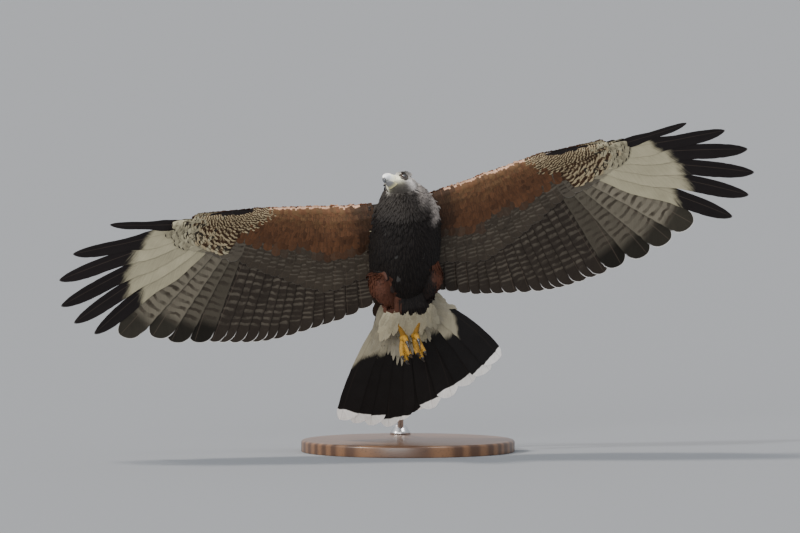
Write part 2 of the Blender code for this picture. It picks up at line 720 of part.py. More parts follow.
def spaced(ends, count):
    """Evenly spaced points along a line."""
    (f0, l0), (f1, l1) = ends
    return [(f0 + (f1 - f0) * i / (count - 1), l0 + (l1 - l0) * i / (count - 1))
            for i in range(count)]


def rear_tips(side):
    """Tips of the secondaries and tertials along the rear edge."""
    edge = curve_through(REAR_EDGE[side], 8)
    count = SECONDARY_COUNT + TERTIAL_COUNT
    return [edge[round(i * (len(edge) - 1) / (count - 1))] for i in range(count)]


def feather_axes(side):
    """Root and tip of each flight feather: primaries, secondaries, tertials."""
    roots = [(forward + hand_shift(out, side), out) for forward, out in spaced(PRIMARY_ROOTS, 10)]
    primaries = list(zip(roots, PRIMARY_TIPS[side]))
    tips = rear_tips(side)
    secondaries = list(zip(spaced(SECONDARY_ROOTS, SECONDARY_COUNT), tips[:SECONDARY_COUNT]))
    tertials = list(zip(spaced(TERTIAL_ROOTS, TERTIAL_COUNT), tips[SECONDARY_COUNT:]))
    return primaries, secondaries, tertials


def wing_vane(root, tip, width, side, outline, lift=0.0, tilt=VANE_TILT, lead=0.5, bow=0.0):
    """One feather draped on the wing's surface, its leading edge raised."""
    root, tip = Vector(root), Vector(tip)
    along = tip - root
    ahead = Vector((along.y, -along.x)).normalized()
    rows = []
    for share, breadth in outline:
        centre = root + along * share + ahead * (4 * bow * share * (1 - share))
        slope = (along + ahead * (4 * bow * (1 - 2 * share))).normalized()
        outward = Vector((slope.y, -slope.x))
        row = []
        for offset in (-width * breadth * (1 - lead), width * breadth * lead):
            place = centre + outward * offset
            raised = lift + offset * math.tan(math.radians(tilt))
            row.append(on_wing(place.x, place.y, side, raised))
        rows.append(row)
    return plate(rows, VANE_THICKNESS, "vane")


def between(axes, share):
    """The root and tip at a share of the way along a row of feathers."""
    place = share * (len(axes) - 1)
    index = min(int(place), len(axes) - 2)
    rest = place - index
    return [tuple(a + (b - a) * rest for a, b in zip(axes[index][end], axes[index + 1][end]))
            for end in (0, 1)]


def covert_vanes(axes, side, plan):
    """A tier of coverts over and under a row of flight feathers."""
    count, ahead, length, width, lift, tilt = plan
    vanes = []
    for index in range(count):
        root, tip = (Vector(end) for end in between(axes, index / (count - 1)))
        along = (tip - root).normalized()
        start = root - along * ahead
        for height in (lift, -lift):
            vanes.append(wing_vane(start, start + along * length, width, side, COVERT_FEATHER,
                                   height, tilt))
    return vanes


def beyond(cut, outward):
    """A large box on one side of a line drawn across the wing."""
    (f0, l0), (f1, l1) = cut
    along = Vector((f1 - f0, l1 - l0, 0.0)).normalized()
    normal = Vector((-along.y, along.x, 0.0)) * -1.0
    if normal.y < 0:
        normal = -normal
    if not outward:
        normal = -normal
    big = 0.5
    turned = Matrix((along, normal.cross(along), normal)).transposed().to_4x4()
    place = Matrix.Translation((f0, l0, 0.0)) @ turned
    return placed(block((-big, -big, GAP / -2), (big, big, big)), place)


def flight_vanes(primaries, others, side):
    """Primaries, the outer six narrowed to fingers, then the rest."""
    vanes = []
    for index, (root, tip) in primaries:
        outline = FINGER_FEATHER if index >= FIRST_FINGER else ROUND_FEATHER
        usual = PRIMARY_WIDTH if index >= FIRST_FINGER else INNER_PRIMARY_WIDTH
        width, lead, bow = OUTER_PRIMARIES.get(index, (usual, PRIMARY_LEAD, PRIMARY_BOW))
        vanes.append(wing_vane(root, tip, width, side, outline, lead=lead, bow=bow))
    for root, tip in others:
        vanes.append(wing_vane(root, tip, SECONDARY_WIDTH, side, ROUND_FEATHER,
                               lead=SECONDARY_LEAD))
    return vanes


def make_wing(model, side, torso, neck):
    word = "left" if side > 0 else "right"
    primaries, secondaries, tertials = feather_axes(side)
    numbered = list(enumerate(primaries, 1))
    alula = [wing_vane(root, (tip[0] + HAND_SHIFT[side], tip[1]), ALULA_WIDTH, side,
                       ROUND_FEATHER, lift, 0.0) for root, tip, lift in ALULA]
    inner_row = [secondaries[-1]] + tertials
    plans = [
        ("upper_arm", flight_vanes([], inner_row, side), inner_row, [(ELBOW_CUT, True)]),
        ("forearm", flight_vanes(numbered[:1], secondaries + tertials[:1], side), secondaries,
         [(ELBOW_CUT, False), (WRIST_CUT, True)]),
        ("hand", flight_vanes(numbered, secondaries[:1], side) + alula, primaries,
         [(WRIST_CUT, False)]),
    ]
    mirror = Matrix.Diagonal((1.0, side, 1.0, 1.0))
    nodes = []
    for part, vanes, row, cuts in plans:
        name = "wing_%s_%s" % (word, part)
        node = model.add(name, arm_flesh(side), "wing", model.bird)
        vanes += covert_vanes(row, side, GREATER_COVERTS[part])
        vanes += covert_vanes(row, side, MEDIAN_COVERTS[part])
        join_all(node, vanes)
        for line, outward in cuts:
            tool = placed(beyond(line, outward), mirror)
            if side < 0:
                tool.flip_normals()
            cut_by(model, node, tool, model.bird)
        nodes.append(node)
    cut_clear(model, nodes[0], torso)
    cut_clear(model, nodes[0], neck)


# Tail

def tail_axes():
    """The tail's own directions: back along it, to its left and to its top."""
    pitch, roll = math.radians(TAIL_PITCH), math.radians(TAIL_ROLL)
    back = Vector((-math.cos(pitch), 0.0, math.sin(pitch)))
    top = Vector((math.sin(pitch), 0.0, math.cos(pitch)))
    left = Vector((0.0, math.cos(roll), 0.0)) + top * math.sin(roll)
    return back, left, back.cross(left) * -1.0


def on_tail(place, lift=0.0):
    """A point on the tail's fan from its distances back and to the left."""
    back, left, top = tail_axes()
    return Vector(TAIL_ROOT) + back * place[0] + left * place[1] + top * lift


def tail_vane(root, tip, width, lift, outline, bow=0.0):
    """One feather of the tail, flat in the tail's plane."""
    root, tip = Vector(root), Vector(tip)
    along = tip - root
    aside = Vector((-along.y, along.x)).normalized()
    rows = []
    for share, breadth in outline:
        centre = root + along * share + aside * (4 * bow * share * (1 - share))
        half = aside * (width * breadth / 2)
        rows.append([on_tail(centre - half, lift), on_tail(centre + half, lift)])
    return plate(rows, VANE_THICKNESS, "vane")


def make_tail(model, torso):
    _, left, top = tail_axes()
    rings = [oval(on_tail((distance, TAIL_MIDDLE)), left, top, half_width, half_height,
                  half_height, 16) for distance, half_width, half_height in TAIL_FLESH]
    tail = model.add("tail", loft(rings, "tail"), "tail", model.bird)
    vanes = []
    middle = (len(TAIL_TIPS) - 1) / 2
    for index, (root, tip) in enumerate(zip(spaced(TAIL_ROOTS, len(TAIL_TIPS)), TAIL_TIPS)):
        rank = abs(index - middle) - 0.5
        height = TAIL_STACK if index == len(TAIL_TIPS) // 2 else -TAIL_STACK * rank
        vanes.append(tail_vane(root, tip, TAIL_WIDTH, height, TAIL_FEATHER,
                               TAIL_BOW * (index - middle) / middle))
    for root, tip, width, lift in UNDER_TAIL_COVERTS + UPPER_TAIL_COVERTS:
        vanes.append(tail_vane(root, tip, width, lift, COVERT_FEATHER))
    join_all(tail, vanes)
    cut_clear(model, tail, torso)


# Legs

def bent_path(start, turn, slope, bend, length, radii, count=5):
    """Rows along an arc that starts backwards and bends towards the belly."""
    aside = math.radians(turn)
    rows = []
    place = Vector(start)
    for index in range(count):
        share = index / (count - 1)
        rows.append((*place, radii[0] + (radii[1] - radii[0]) * share))
        down = math.radians(slope + bend * (share + 0.5 / (count - 1)))
        level = math.cos(down)
        place += Vector((-level * math.cos(aside), level * math.sin(aside),
                         -math.sin(down))) * (length / (count - 1))
    return rows


def make_leg(model, side, torso):
    word = "left" if side > 0 else "right"

    def sided(path, middle):
        return [(row[0], row[1] * side + middle, *row[2:]) for row in path]

    thigh = model.add("thigh_" + word, tube(sided(THIGH_PATH, LEG_MIDDLE), 16, "thigh"), "thigh",
                      model.bird)
    cut_clear(model, thigh, torso)
    tarsus_path = sided(TARSUS_PATH, FOOT_MIDDLE)
    palm = Vector((FOOT_PLACE[0], FOOT_PLACE[1] * side + FOOT_MIDDLE, FOOT_PLACE[2]))
    foot = model.add("foot_" + word, ball((FOOT_RADIUS,) * 3, palm, "foot", 10, 7), "scales",
                     model.bird)
    toes, claws = [], []
    for turn, length, slope, bend, claw_length in TOES:
        toe = bent_path(palm, turn * side, slope, bend, length, TOE_RADII)
        toes.append(tube(toe, 7, "toe", steps=1))
        claws.append(bent_path(toe[-1][:3], turn * side, slope + bend, CLAW_BEND, claw_length,
                               CLAW_RADII))
    join_all(foot, toes, "MANIFOLD")
    for index, path in enumerate(claws):
        claw = model.add("claw_%s_%d" % (word, index + 1), tube(path, 7, "claw", steps=1), "claw",
                         model.bird)
        cut_clear(model, claw, foot, "MANIFOLD")
    tarsus = model.add("tarsus_" + word, tube(tarsus_path, 10, "tarsus"), "scales", model.bird)
    cut_clear(model, tarsus, foot)
    cut_clear(model, tarsus, thigh)


# Stand

def turned(profile, name):
    """A shape turned about Z from a profile that runs down its outer side."""
    work = bmesh.new()
    verts = [work.verts.new((radius, 0.0, height)) for radius, height in profile]
    for first, second in zip(verts, verts[1:]):
        work.edges.new((first, second))
    mesh = bpy.data.meshes.new(name)
    work.to_mesh(mesh)
    work.free()
    return mesh


def screwed(piece, steps):
    modifier = piece.modifiers.new("turn", "SCREW")
    modifier.axis = "Z"
    modifier.steps = steps
    modifier.render_steps = steps
    modifier.use_merge_vertices = True
    modifier.merge_threshold = 0.00001
    modifier.use_smooth_shade = False


def evaluated_mesh(piece):
    """The mesh that a piece's modifiers make, in its own frame."""
    bpy.context.view_layer.update()
    depsgraph = bpy.context.evaluated_depsgraph_get()
    return bpy.data.meshes.new_from_object(piece.evaluated_get(depsgraph))


def make_stand(model, torso):
    base_profile = [(0.0, BASE_THICKNESS), (BASE_RADIUS - BASE_BEVEL, BASE_THICKNESS),
                    (BASE_RADIUS - BASE_BEVEL * 0.3, BASE_THICKNESS - BASE_BEVEL * 0.3),
                    (BASE_RADIUS, BASE_THICKNESS - BASE_BEVEL), (BASE_RADIUS, 0.0), (0.0, 0.0)]
    base = model.add("stand_base", turned(base_profile, "stand_base"), "wood")
    screwed(base, 44)
    foot = Vector((*ROD_FOOT, BASE_THICKNESS + GAP))
    socket_profile = [(0.0, SOCKET_HEIGHT), (SOCKET_RADIUS * 0.6, SOCKET_HEIGHT),
                      (SOCKET_RADIUS, SOCKET_HEIGHT * 0.3), (SOCKET_RADIUS, 0.0), (0.0, 0.0)]
    socket = model.add("stand_socket", turned(socket_profile, "stand_socket"), "steel")
    screwed(socket, 22)
    socket.location = foot
    top = model.bird.matrix_world @ Vector(ROD_TOP)
    work = bmesh.new()
    bmesh.ops.create_cone(work, cap_ends=True, segments=16, radius1=ROD_RADIUS, radius2=ROD_RADIUS,
                          depth=(top - foot).length)
    mesh = bpy.data.meshes.new("stand_rod")
    work.to_mesh(mesh)
    work.free()
    turn = (top - foot).to_track_quat("Z", "Y").to_matrix().to_4x4()
    rod = model.add("stand_rod", placed(mesh, Matrix.Translation((top + foot) / 2) @ turn), "steel")
    cut_clear(model, rod, torso)
    around = swollen(evaluated_mesh(socket), GROWTH, "around")
    cut_by(model, rod, placed(around, Matrix.Translation(foot)), None)


def main():
    clear_scene()
    model = Model()
    torso = make_torso(model)
    neck = make_neck(model)
    around_head = make_head(model)
    make_bill(model, around_head[0])
    for grown in around_head:
        cut_by(model, neck, grown, model.bird)
    for side in (1, -1):
        make_wing(model, side, torso, neck)
        make_leg(model, side, torso)
    make_tail(model, torso)
    make_stand(model, torso)


main()
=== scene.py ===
# %% [markdown]
# # A soaring hawk on a display stand
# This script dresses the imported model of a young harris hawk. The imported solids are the
# fixed frame: they say where the trunk, the arms, the legs and the stand are. Here the bird
# gets its skin, its feathers, its eyes and its colours, and nothing is moved.

import json
import math

import bmesh
import bpy
import numpy as np
from mathutils import Matrix, Vector
from mathutils.kdtree import KDTree

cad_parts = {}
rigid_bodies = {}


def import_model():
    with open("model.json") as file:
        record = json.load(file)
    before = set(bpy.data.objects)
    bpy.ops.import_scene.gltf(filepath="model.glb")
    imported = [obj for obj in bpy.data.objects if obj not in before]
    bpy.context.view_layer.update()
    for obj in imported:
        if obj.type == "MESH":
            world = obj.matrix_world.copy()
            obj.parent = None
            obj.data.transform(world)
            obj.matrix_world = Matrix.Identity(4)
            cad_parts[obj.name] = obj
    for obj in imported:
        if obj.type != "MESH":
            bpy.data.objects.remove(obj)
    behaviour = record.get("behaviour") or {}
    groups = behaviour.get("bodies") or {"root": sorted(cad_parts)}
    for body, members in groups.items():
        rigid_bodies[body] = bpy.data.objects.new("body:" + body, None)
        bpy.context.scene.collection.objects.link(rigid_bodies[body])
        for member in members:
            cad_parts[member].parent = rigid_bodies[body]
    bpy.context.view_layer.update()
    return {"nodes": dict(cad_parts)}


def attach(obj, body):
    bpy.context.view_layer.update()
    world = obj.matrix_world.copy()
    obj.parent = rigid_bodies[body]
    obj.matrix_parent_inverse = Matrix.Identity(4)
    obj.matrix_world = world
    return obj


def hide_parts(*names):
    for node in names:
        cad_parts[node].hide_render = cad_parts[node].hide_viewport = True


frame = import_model()
print("nodes in the frame:", len(frame["nodes"]))

# %% [markdown]
# The bird is easiest to build level, with x forward, y to its left and z to its back, and to
# tilt as a whole afterwards. These are the same few values that place it in the solids: how
# high the trunk hangs, how far the bird is pitched and banked, and how high the viewer stands.

# %% Where the bird hangs
MM = 0.001
BODY_PLACE = Vector((0.0, -0.085, 0.308))
VIEW_RISE, PITCH, BANK, ROLL = (math.radians(angle) for angle in (3.0, 32.0, 15.0, 3.0))

RIGHT = Vector((1.0, 0.0, 0.0))
UP = Vector((0.0, math.sin(VIEW_RISE), math.cos(VIEW_RISE)))
TOWARDS = Vector((0.0, -math.cos(VIEW_RISE), math.sin(VIEW_RISE)))


def tilted_axes():
    """The level bird's forward, left and back directions once it hangs in the air."""
    forward = Vector((0.0, math.cos(PITCH), math.sin(PITCH)))
    left = Vector((math.cos(BANK), math.sin(BANK) * math.sin(PITCH), -math.sin(BANK) * math.cos(PITCH)))
    back = Vector((-math.sin(BANK), math.cos(BANK) * math.sin(PITCH), -math.cos(BANK) * math.cos(PITCH)))
    view = Matrix((RIGHT, UP, TOWARDS)).transposed() @ Matrix.Rotation(ROLL, 3, "Z")
    return [view @ axis for axis in (forward, left, back)]


BIRD = Matrix.Translation(BODY_PLACE) @ Matrix(tilted_axes()).transposed().to_4x4()
print("forward points to", [round(value, 3) for value in tilted_axes()[0]])

# %% [markdown]
# The camera looks from where the photographer did. A hawk in the sky is photographed from
# far away with a long lens, so the camera stands 24 m off: near and far wing then keep their
# true proportions. The picture is 800 pixels wide, and 650 of them make one metre here.

# %% Camera
PICTURE = (800, 533)
PIXELS_PER_METRE = 650.0
BODY_PIXEL = (408.0, 255.0)  # where the middle of the trunk shows in the picture
VIEW_DISTANCE = 24.0


def linked(name, data):
    """A new object in the scene, made from a mesh, a camera or a light."""
    piece = bpy.data.objects.new(name, data)
    bpy.context.scene.collection.objects.link(piece)
    return piece


view = bpy.data.cameras.new("camera")
view.sensor_width = 36.0
view.lens = view.sensor_width * VIEW_DISTANCE * PIXELS_PER_METRE / PICTURE[0]
view.clip_end = 200.0
aside, below = ((pixel - size / 2) / PIXELS_PER_METRE for pixel, size in zip(BODY_PIXEL, PICTURE))
aim = BODY_PLACE - RIGHT * aside + UP * below
camera = linked("camera", view)
camera.matrix_world = (Matrix.Translation(aim + TOWARDS * VIEW_DISTANCE)
                       @ Matrix((RIGHT, UP, TOWARDS)).transposed().to_4x4())
bpy.context.scene.camera = camera
print("lens of %.0f mm at %.0f m" % (view.lens, VIEW_DISTANCE))

# %% [markdown]
# Studio light for a dark bird seen from below: a bright, even room, a broad soft light from
# the front for the underside, a small one from the left that models head and bill, one from
# above and behind that rims the wings, and a weak one that is a spark in the eye.

# %% Light and floor
def make_sun(name, towards_light, strength, softness, colour):
    data = bpy.data.lights.new(name, "SUN")
    data.energy = strength
    data.angle = math.radians(softness)
    data.color = colour
    turn = Vector(towards_light).to_track_quat("Z", "Y")
    linked(name, data).matrix_world = turn.to_matrix().to_4x4()


make_sun("front_light", (-0.22, -0.95, 0.17), 2.45, 32.0, (1.0, 0.985, 0.96))
make_sun("side_light", (-0.72, -0.46, 0.52), 2.6, 4.0, (1.0, 0.985, 0.95))
make_sun("rim_light", (-0.3, 0.3, 0.9), 3.2, 8.0, (1.0, 0.92, 0.82))
make_sun("eye_light", (0.385, -0.287, 0.877), 1.1, 18.0, (1.0, 1.0, 1.0))

world = bpy.data.worlds.new("room")
world.use_nodes = True
air = world.node_tree.nodes["Background"].inputs
air["Color"].default_value = (0.9, 0.94, 1.0, 1.0)
air["Strength"].default_value = 0.68
bpy.context.scene.world = world

FLOOR_HALF = 120.0
sheet = bpy.data.meshes.new("floor")
sheet.from_pydata([(x * FLOOR_HALF, y * FLOOR_HALF, 0.0) for x, y in
                   ((-1, -1), (1, -1), (1, 1), (-1, 1))], [], [(0, 1, 2, 3)])
floor_paint = bpy.data.materials.new("floor")
floor_paint.use_nodes = True
shader = floor_paint.node_tree.nodes["Principled BSDF"]
shader.inputs["Base Color"].default_value = (0.168, 0.178, 0.194, 1.0)
shader.inputs["Roughness"].default_value = 0.9
sheet.materials.append(floor_paint)
floor = linked("floor", sheet)
print("floor of %.0f m, lit by 4 lights" % (2 * FLOOR_HALF))

# %% [markdown]
# A real wing is a thin, arched surface. The arm carries it from the shoulder over the elbow
# to the wrist, and every long feather is draped on it. So one function gives the height of
# that surface anywhere, and all feathers ask it where they lie. The stations of the arm are
# the same as in the solids: front edge, rear edge, thickness in front and behind.

# %% The wing's surface
ARM_STATIONS = np.array([
    (0.092, 0.02, 0.02, 0.02, 0.03, 0.01), (0.093, 0.055, 0.014, 0.055, 0.028, 0.01),
    (0.094, 0.09, 0.002, 0.088, 0.025, 0.01), (0.098, 0.125, -0.006, 0.122, 0.022, 0.01),
    (0.105, 0.165, 0.022, 0.158, 0.018, 0.01), (0.112, 0.2, 0.052, 0.2, 0.016, 0.009),
    (0.117, 0.228, 0.075, 0.238, 0.014, 0.008), (0.118, 0.262, 0.082, 0.264, 0.0115, 0.007),
    (0.119, 0.295, 0.088, 0.294, 0.009, 0.006), (0.119, 0.322, 0.098, 0.32, 0.006, 0.0045)])
WING_ARCH = np.array([(0.0, 0.012), (0.045, 0.018), (0.13, 0.03), (0.24, 0.031),
                      (0.33, 0.028), (0.44, 0.027), (0.58, 0.036)])
WING_TIP_FRONT = (0.46, 0.125)
CAMBER = 0.35
CAMBER_START = 0.06
HAND_SHIFT = {1: -0.003, -1: 0.005}  # the two hands are held a little differently
HAND_SHIFT_SPAN = (0.2, 0.32)
THICKNESS_SHARE = ((0.0, 0.06, 0.22, 0.5, 0.8), (0.0, 0.55, 0.95, 1.0, 0.72))
STEPS = np.arange(len(ARM_STATIONS))  # a position on the arm counts the stations


def eased(value, start, end):
    """0 before the start, 1 after the end, and a soft rise between them."""
    share = np.clip((value - start) / (end - start), 0.0, 1.0)
    return share * share * (3 - 2 * share)


def wing_height(forward, out):
    """Height of the wing's middle surface above the bird's level plane."""
    front = np.interp(out, np.append(ARM_STATIONS[:, 1], WING_TIP_FRONT[0]),
                      np.append(ARM_STATIONS[:, 0], WING_TIP_FRONT[1]))
    behind = np.maximum(0.0, front - forward - CAMBER_START)
    return np.interp(out, WING_ARCH[:, 0], WING_ARCH[:, 1]) - CAMBER * behind ** 2


def on_wing(forward, out, side, lift=0.0):
    return np.stack([forward, side * out, wing_height(forward, out) + lift], axis=-1)


def hand_shift(out, side):
    return HAND_SHIFT[side] * eased(out, *HAND_SHIFT_SPAN)


def arm_place(position, chord, side):
    """A place on the arm: position runs over the stations, chord from front to rear."""
    row = [np.interp(position, STEPS, column) for column in ARM_STATIONS.T]
    front = row[0] + hand_shift(row[1], side)
    forward = front + (row[2] - front) * chord
    out = row[1] + (row[3] - row[1]) * chord
    return forward, out


def arm_half_thickness(position, chord):
    """Half the arm's depth; behind four fifths of the chord it thins out to the rear edge."""
    thick = np.interp(position, STEPS, ARM_STATIONS[:, 4]) / 2
    thin = np.interp(position, STEPS, ARM_STATIONS[:, 5]) / 2
    behind = np.clip((chord - 0.8) / 0.2, 0.0, 1.0)
    return thick * np.interp(chord, *THICKNESS_SHARE) * (1 - behind) + thin * behind


# %% [markdown]
# Ten primaries grow from the hand, then secondaries from the forearm and tertials from the
# upper arm. Each is given by its root and its tip. The outer six primaries are narrowed
# towards the tip and stand apart as fingers, which lets the hawk soar slowly.

# %% Where the flight feathers grow
PRIMARY_TIPS = {1: [(-0.106, 0.346), (-0.096, 0.389), (-0.08, 0.427), (-0.06, 0.466), (-0.063, 0.53),
                    (-0.032, 0.559), (0.005, 0.57), (0.049, 0.561), (0.092, 0.525), (0.121, 0.463)],
                -1: [(-0.095, 0.342), (-0.086, 0.379), (-0.071, 0.408), (-0.058, 0.459), (-0.048, 0.497),
                     (-0.024, 0.527), (0.009, 0.545), (0.055, 0.545), (0.098, 0.521), (0.14, 0.461)]}
REAR_EDGE = {1: [(-0.114, 0.318), (-0.123, 0.27), (-0.125, 0.228), (-0.118, 0.165), (-0.108, 0.116),
                 (-0.086, 0.064)],
             -1: [(-0.101, 0.314), (-0.113, 0.266), (-0.118, 0.222), (-0.114, 0.165), (-0.106, 0.114),
                  (-0.085, 0.056)]}
PRIMARY_ROOTS = ((0.084, 0.25), (0.105, 0.316))
SECONDARY_ROOTS = ((0.076, 0.231), (0.004, 0.127))
TERTIAL_ROOTS = ((0.004, 0.11), (0.022, 0.06))
SECONDARY_COUNT = 11
TERTIAL_COUNT = 4
FIRST_FINGER = 5
SIDES = {1: "left", -1: "right"}


def smooth_rows(rows, count):
    """Rows read evenly along a smooth curve through the given ones."""
    rows = np.asarray(rows, dtype=float)
    padded = np.vstack([rows[0], rows, rows[-1]])
    found = []
    for place in np.linspace(0, len(rows) - 1, count):
        index = min(int(place), len(rows) - 2)
        t = place - index
        a, b, c, d = padded[index:index + 4]
        found.append(0.5 * (2 * b + (c - a) * t + (2 * a - 5 * b + 4 * c - d) * t ** 2
                            + (3 * b - a - 3 * c + d) * t ** 3))
    return np.array(found)


def evenly(ends, count):
    return np.linspace(ends[0], ends[1], count)


def flight_axes(side):
    """Root and tip of every primary, secondary and tertial of one wing."""
    roots = evenly(PRIMARY_ROOTS, 10)
    roots[:, 0] += hand_shift(roots[:, 1], side)
    rear = smooth_rows(REAR_EDGE[side], SECONDARY_COUNT + TERTIAL_COUNT)
    inner = np.vstack([evenly(SECONDARY_ROOTS, SECONDARY_COUNT), evenly(TERTIAL_ROOTS, TERTIAL_COUNT)])
    return list(zip(roots, PRIMARY_TIPS[side])), list(zip(inner, rear))


# %% [markdown]
# A feather's vane is a thin lens: two curved faces that meet in a sharp rim. To build
# thousands of them quickly, one batch collects the points of all feathers of a piece and
# makes a single mesh at the end. Real barbs part here and there, so the rim is notched a
# little, from a seeded draw.

# %% Feather outlines and looks
ROUND = smooth_rows([(0.0, 0.34), (0.2, 0.74), (0.55, 0.95), (0.84, 1.0), (0.885, 0.995),
                     (0.92, 0.935), (0.945, 0.845), (0.965, 0.71), (0.98, 0.555),
                     (0.992, 0.36), (1.0, 0.08)], 120)
FINGER = smooth_rows([(0.0, 0.3), (0.18, 0.78), (0.4, 1.0), (0.52, 0.82), (0.6, 0.71),
                      (0.8, 0.68), (0.92, 0.5), (0.98, 0.24), (1.0, 0.06)], 60)
COVERT = smooth_rows([(0.0, 0.5), (0.35, 0.86), (0.7, 1.0), (0.9, 0.8), (0.97, 0.5), (1.0, 0.2)], 60)


class Look:
    """Colours and markings of one feather; colours are linear red, green and blue."""

    def __init__(self, ground, mark=None, top=None, bars=0.0, bar_count=8.0, streak=0.0,
                 rim=0.0, band=0.0, panel=0.0, tip=0.0, slant=0.0):
        self.ground = ground
        self.mark = mark or ground
        self.top = top or ground
        self.pattern_a = (bars, bar_count, streak)
        self.pattern_b = (rim, band, panel)
        self.tip = tip
        self.slant = slant


def mixed(first, second, share):
    return tuple(a + (b - a) * share for a, b in zip(first, second))


def row_shares(rows):
    """How far along a feather each row of points lies; they are closest at the tip."""
    return 1 - (1 - np.linspace(0, 1, rows)) ** 1.35


def lens(grid, thickness):
    """Points, faces, underside flags and vane coordinates of one closed vane.

    The grid of its middle surface is shaped (rows, columns, 3), from root to tip.
    """
    rows, columns = grid.shape[:2]
    normal = np.cross(np.gradient(grid, axis=0), np.gradient(grid, axis=1))
    normal /= np.linalg.norm(normal, axis=2, keepdims=True) + 1e-12
    turned = normal[..., 2].mean() < 0
    if turned:
        normal = -normal
    ridge = (1 - np.abs(np.linspace(-1, 1, columns))) ** 0.5
    along = row_shares(rows)
    half = normal * ((1 - along ** 4 * 0.6)[:, None] * ridge)[..., None] * thickness / 2
    inner = (slice(1, rows - 1), slice(1, columns - 1))
    upper, lower = (grid + half).reshape(-1, 3), (grid - half)[inner].reshape(-1, 3)
    index = np.arange(rows * columns).reshape(rows, columns)
    below = index.copy()
    below[inner] = rows * columns + np.arange(len(lower)).reshape(rows - 2, columns - 2)
    quads = np.stack([index[:-1, :-1], index[1:, :-1], index[1:, 1:], index[:-1, 1:]], -1)
    back = np.stack([below[:-1, :-1], below[:-1, 1:], below[1:, 1:], below[1:, :-1]], -1)
    if turned:
        quads, back = quads[..., ::-1], back[..., ::-1]
    quads, back = quads.reshape(-1, 4), back.reshape(-1, 4)
    u, v = np.meshgrid(np.linspace(0, 1, columns), along)
    own = np.vstack([np.stack([u.ravel(), v.ravel()], -1),
                     np.stack([u[inner].ravel(), v[inner].ravel()], -1)])
    flags = np.concatenate([np.zeros(len(quads)), np.ones(len(back))])
    return np.vstack([upper, lower]), np.vstack([quads, back]), flags, own


def quad_mesh(points, faces, name):
    mesh = bpy.data.meshes.new(name)
    mesh.vertices.add(len(points))
    mesh.vertices.foreach_set("co", points.astype(np.float32).ravel())
    mesh.loops.add(faces.size)
    mesh.loops.foreach_set("vertex_index", faces.astype(np.int32).ravel())
    mesh.polygons.add(len(faces))
    mesh.polygons.foreach_set("loop_start", np.arange(0, faces.size, 4, dtype=np.int32))
    mesh.polygons.foreach_set("use_smooth", np.ones(len(faces), dtype=bool))
    mesh.update(calc_edges=True)
    mesh.set_sharp_from_angle(angle=math.radians(60.0))  # a flat vane ends in a crisp rim
    return mesh


# %% [markdown]
# The markings travel with the mesh: colours, bars and edges are attributes of its points,
# and two maps say where a point lies on its own vane and where it goes when colours are baked.

# %% Many feathers in one mesh
KINDS = {"ground": "FLOAT_COLOR", "mark": "FLOAT_COLOR", "top": "FLOAT_COLOR",
         "pattern_a": "FLOAT_VECTOR", "pattern_b": "FLOAT_VECTOR", "tip": "FLOAT",
         "slant": "FLOAT", "tone": "FLOAT"}


def write_attribute(mesh, name, kind, values, domain="POINT"):
    word = {"FLOAT_COLOR": "color", "FLOAT_VECTOR": "vector", "FLOAT": "value"}[kind]
    if kind == "FLOAT_COLOR":
        values = np.column_stack([values, np.ones(len(values))])
    layer = mesh.attributes.new(name, kind, domain)
    layer.data.foreach_set(word, np.asarray(values, dtype=np.float32).ravel())


def hang(piece, *nodes):
    """Move a finished piece to where the bird hangs; it rides on the still body."""
    piece.data.transform(BIRD)
    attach(piece, "root")
    if nodes:
        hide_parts(*nodes)


def write_map(mesh, name, places):
    layer = mesh.uv_layers.new(name=name)
    layer.uv.foreach_set("vector", places.astype(np.float32).ravel())


class Batch:
    """Collects the feathers of one piece, all laid on one surface, and makes them one mesh."""

    def __init__(self, name, seed, drape):
        self.name, self.drape, self.count = name, drape, 0
        self.draw = np.random.default_rng(seed)
        self.points, self.faces, self.under, self.uv, self.roots = [], [], [], [], []
        self.values = {key: [] for key in KINDS}

    def add(self, root, tip, width, outline, size, thickness, look, patch, **shape):
        """One feather. Size is its rows and columns, and look may be a function that draws it.

        The patch is its place on the bake map and how far aside its underside goes there.
        """
        grid = vane_grid(root, tip, width, outline, self.drape, *size, self.draw, **shape)
        look = look() if callable(look) else look
        points, faces, flags, own = lens(grid, thickness)
        self.points.append(points)
        self.faces.append(faces + self.count)
        self.under.append(flags)
        self.uv.append(own)
        self.roots.append(np.tile(patch, (len(points), 1)))
        for key, value in dict(vars(look), tone=self.draw.random()).items():
            self.values[key].append(np.tile(value, (len(points), 1)))
        self.count += len(points)

    def finish(self, material, patch):
        """Make the mesh, hang it in the air with the bird, and let it ride."""
        faces, under, own, roots = (np.concatenate(rows) for rows in
                                    (self.faces, self.under, self.uv, self.roots))
        mesh = quad_mesh(np.concatenate(self.points), faces, self.name)
        for key, kind in KINDS.items():
            write_attribute(mesh, key, kind, np.concatenate(self.values[key]))
        write_attribute(mesh, "under", "FLOAT", under, "FACE")
        corners = faces.ravel()
        bake = roots[corners][:, :2] + (own[corners] - 0.5) * patch
        bake[:, 0] += np.repeat(under, 4) * roots[corners][:, 2]
        write_map(mesh, "vane", own[corners])
        write_map(mesh, "OFBake", bake)
        mesh.materials.append(material)
        hang(linked(self.name, mesh))
        print(self.name, len(self.under), "feathers,", 2 * len(faces), "triangles")


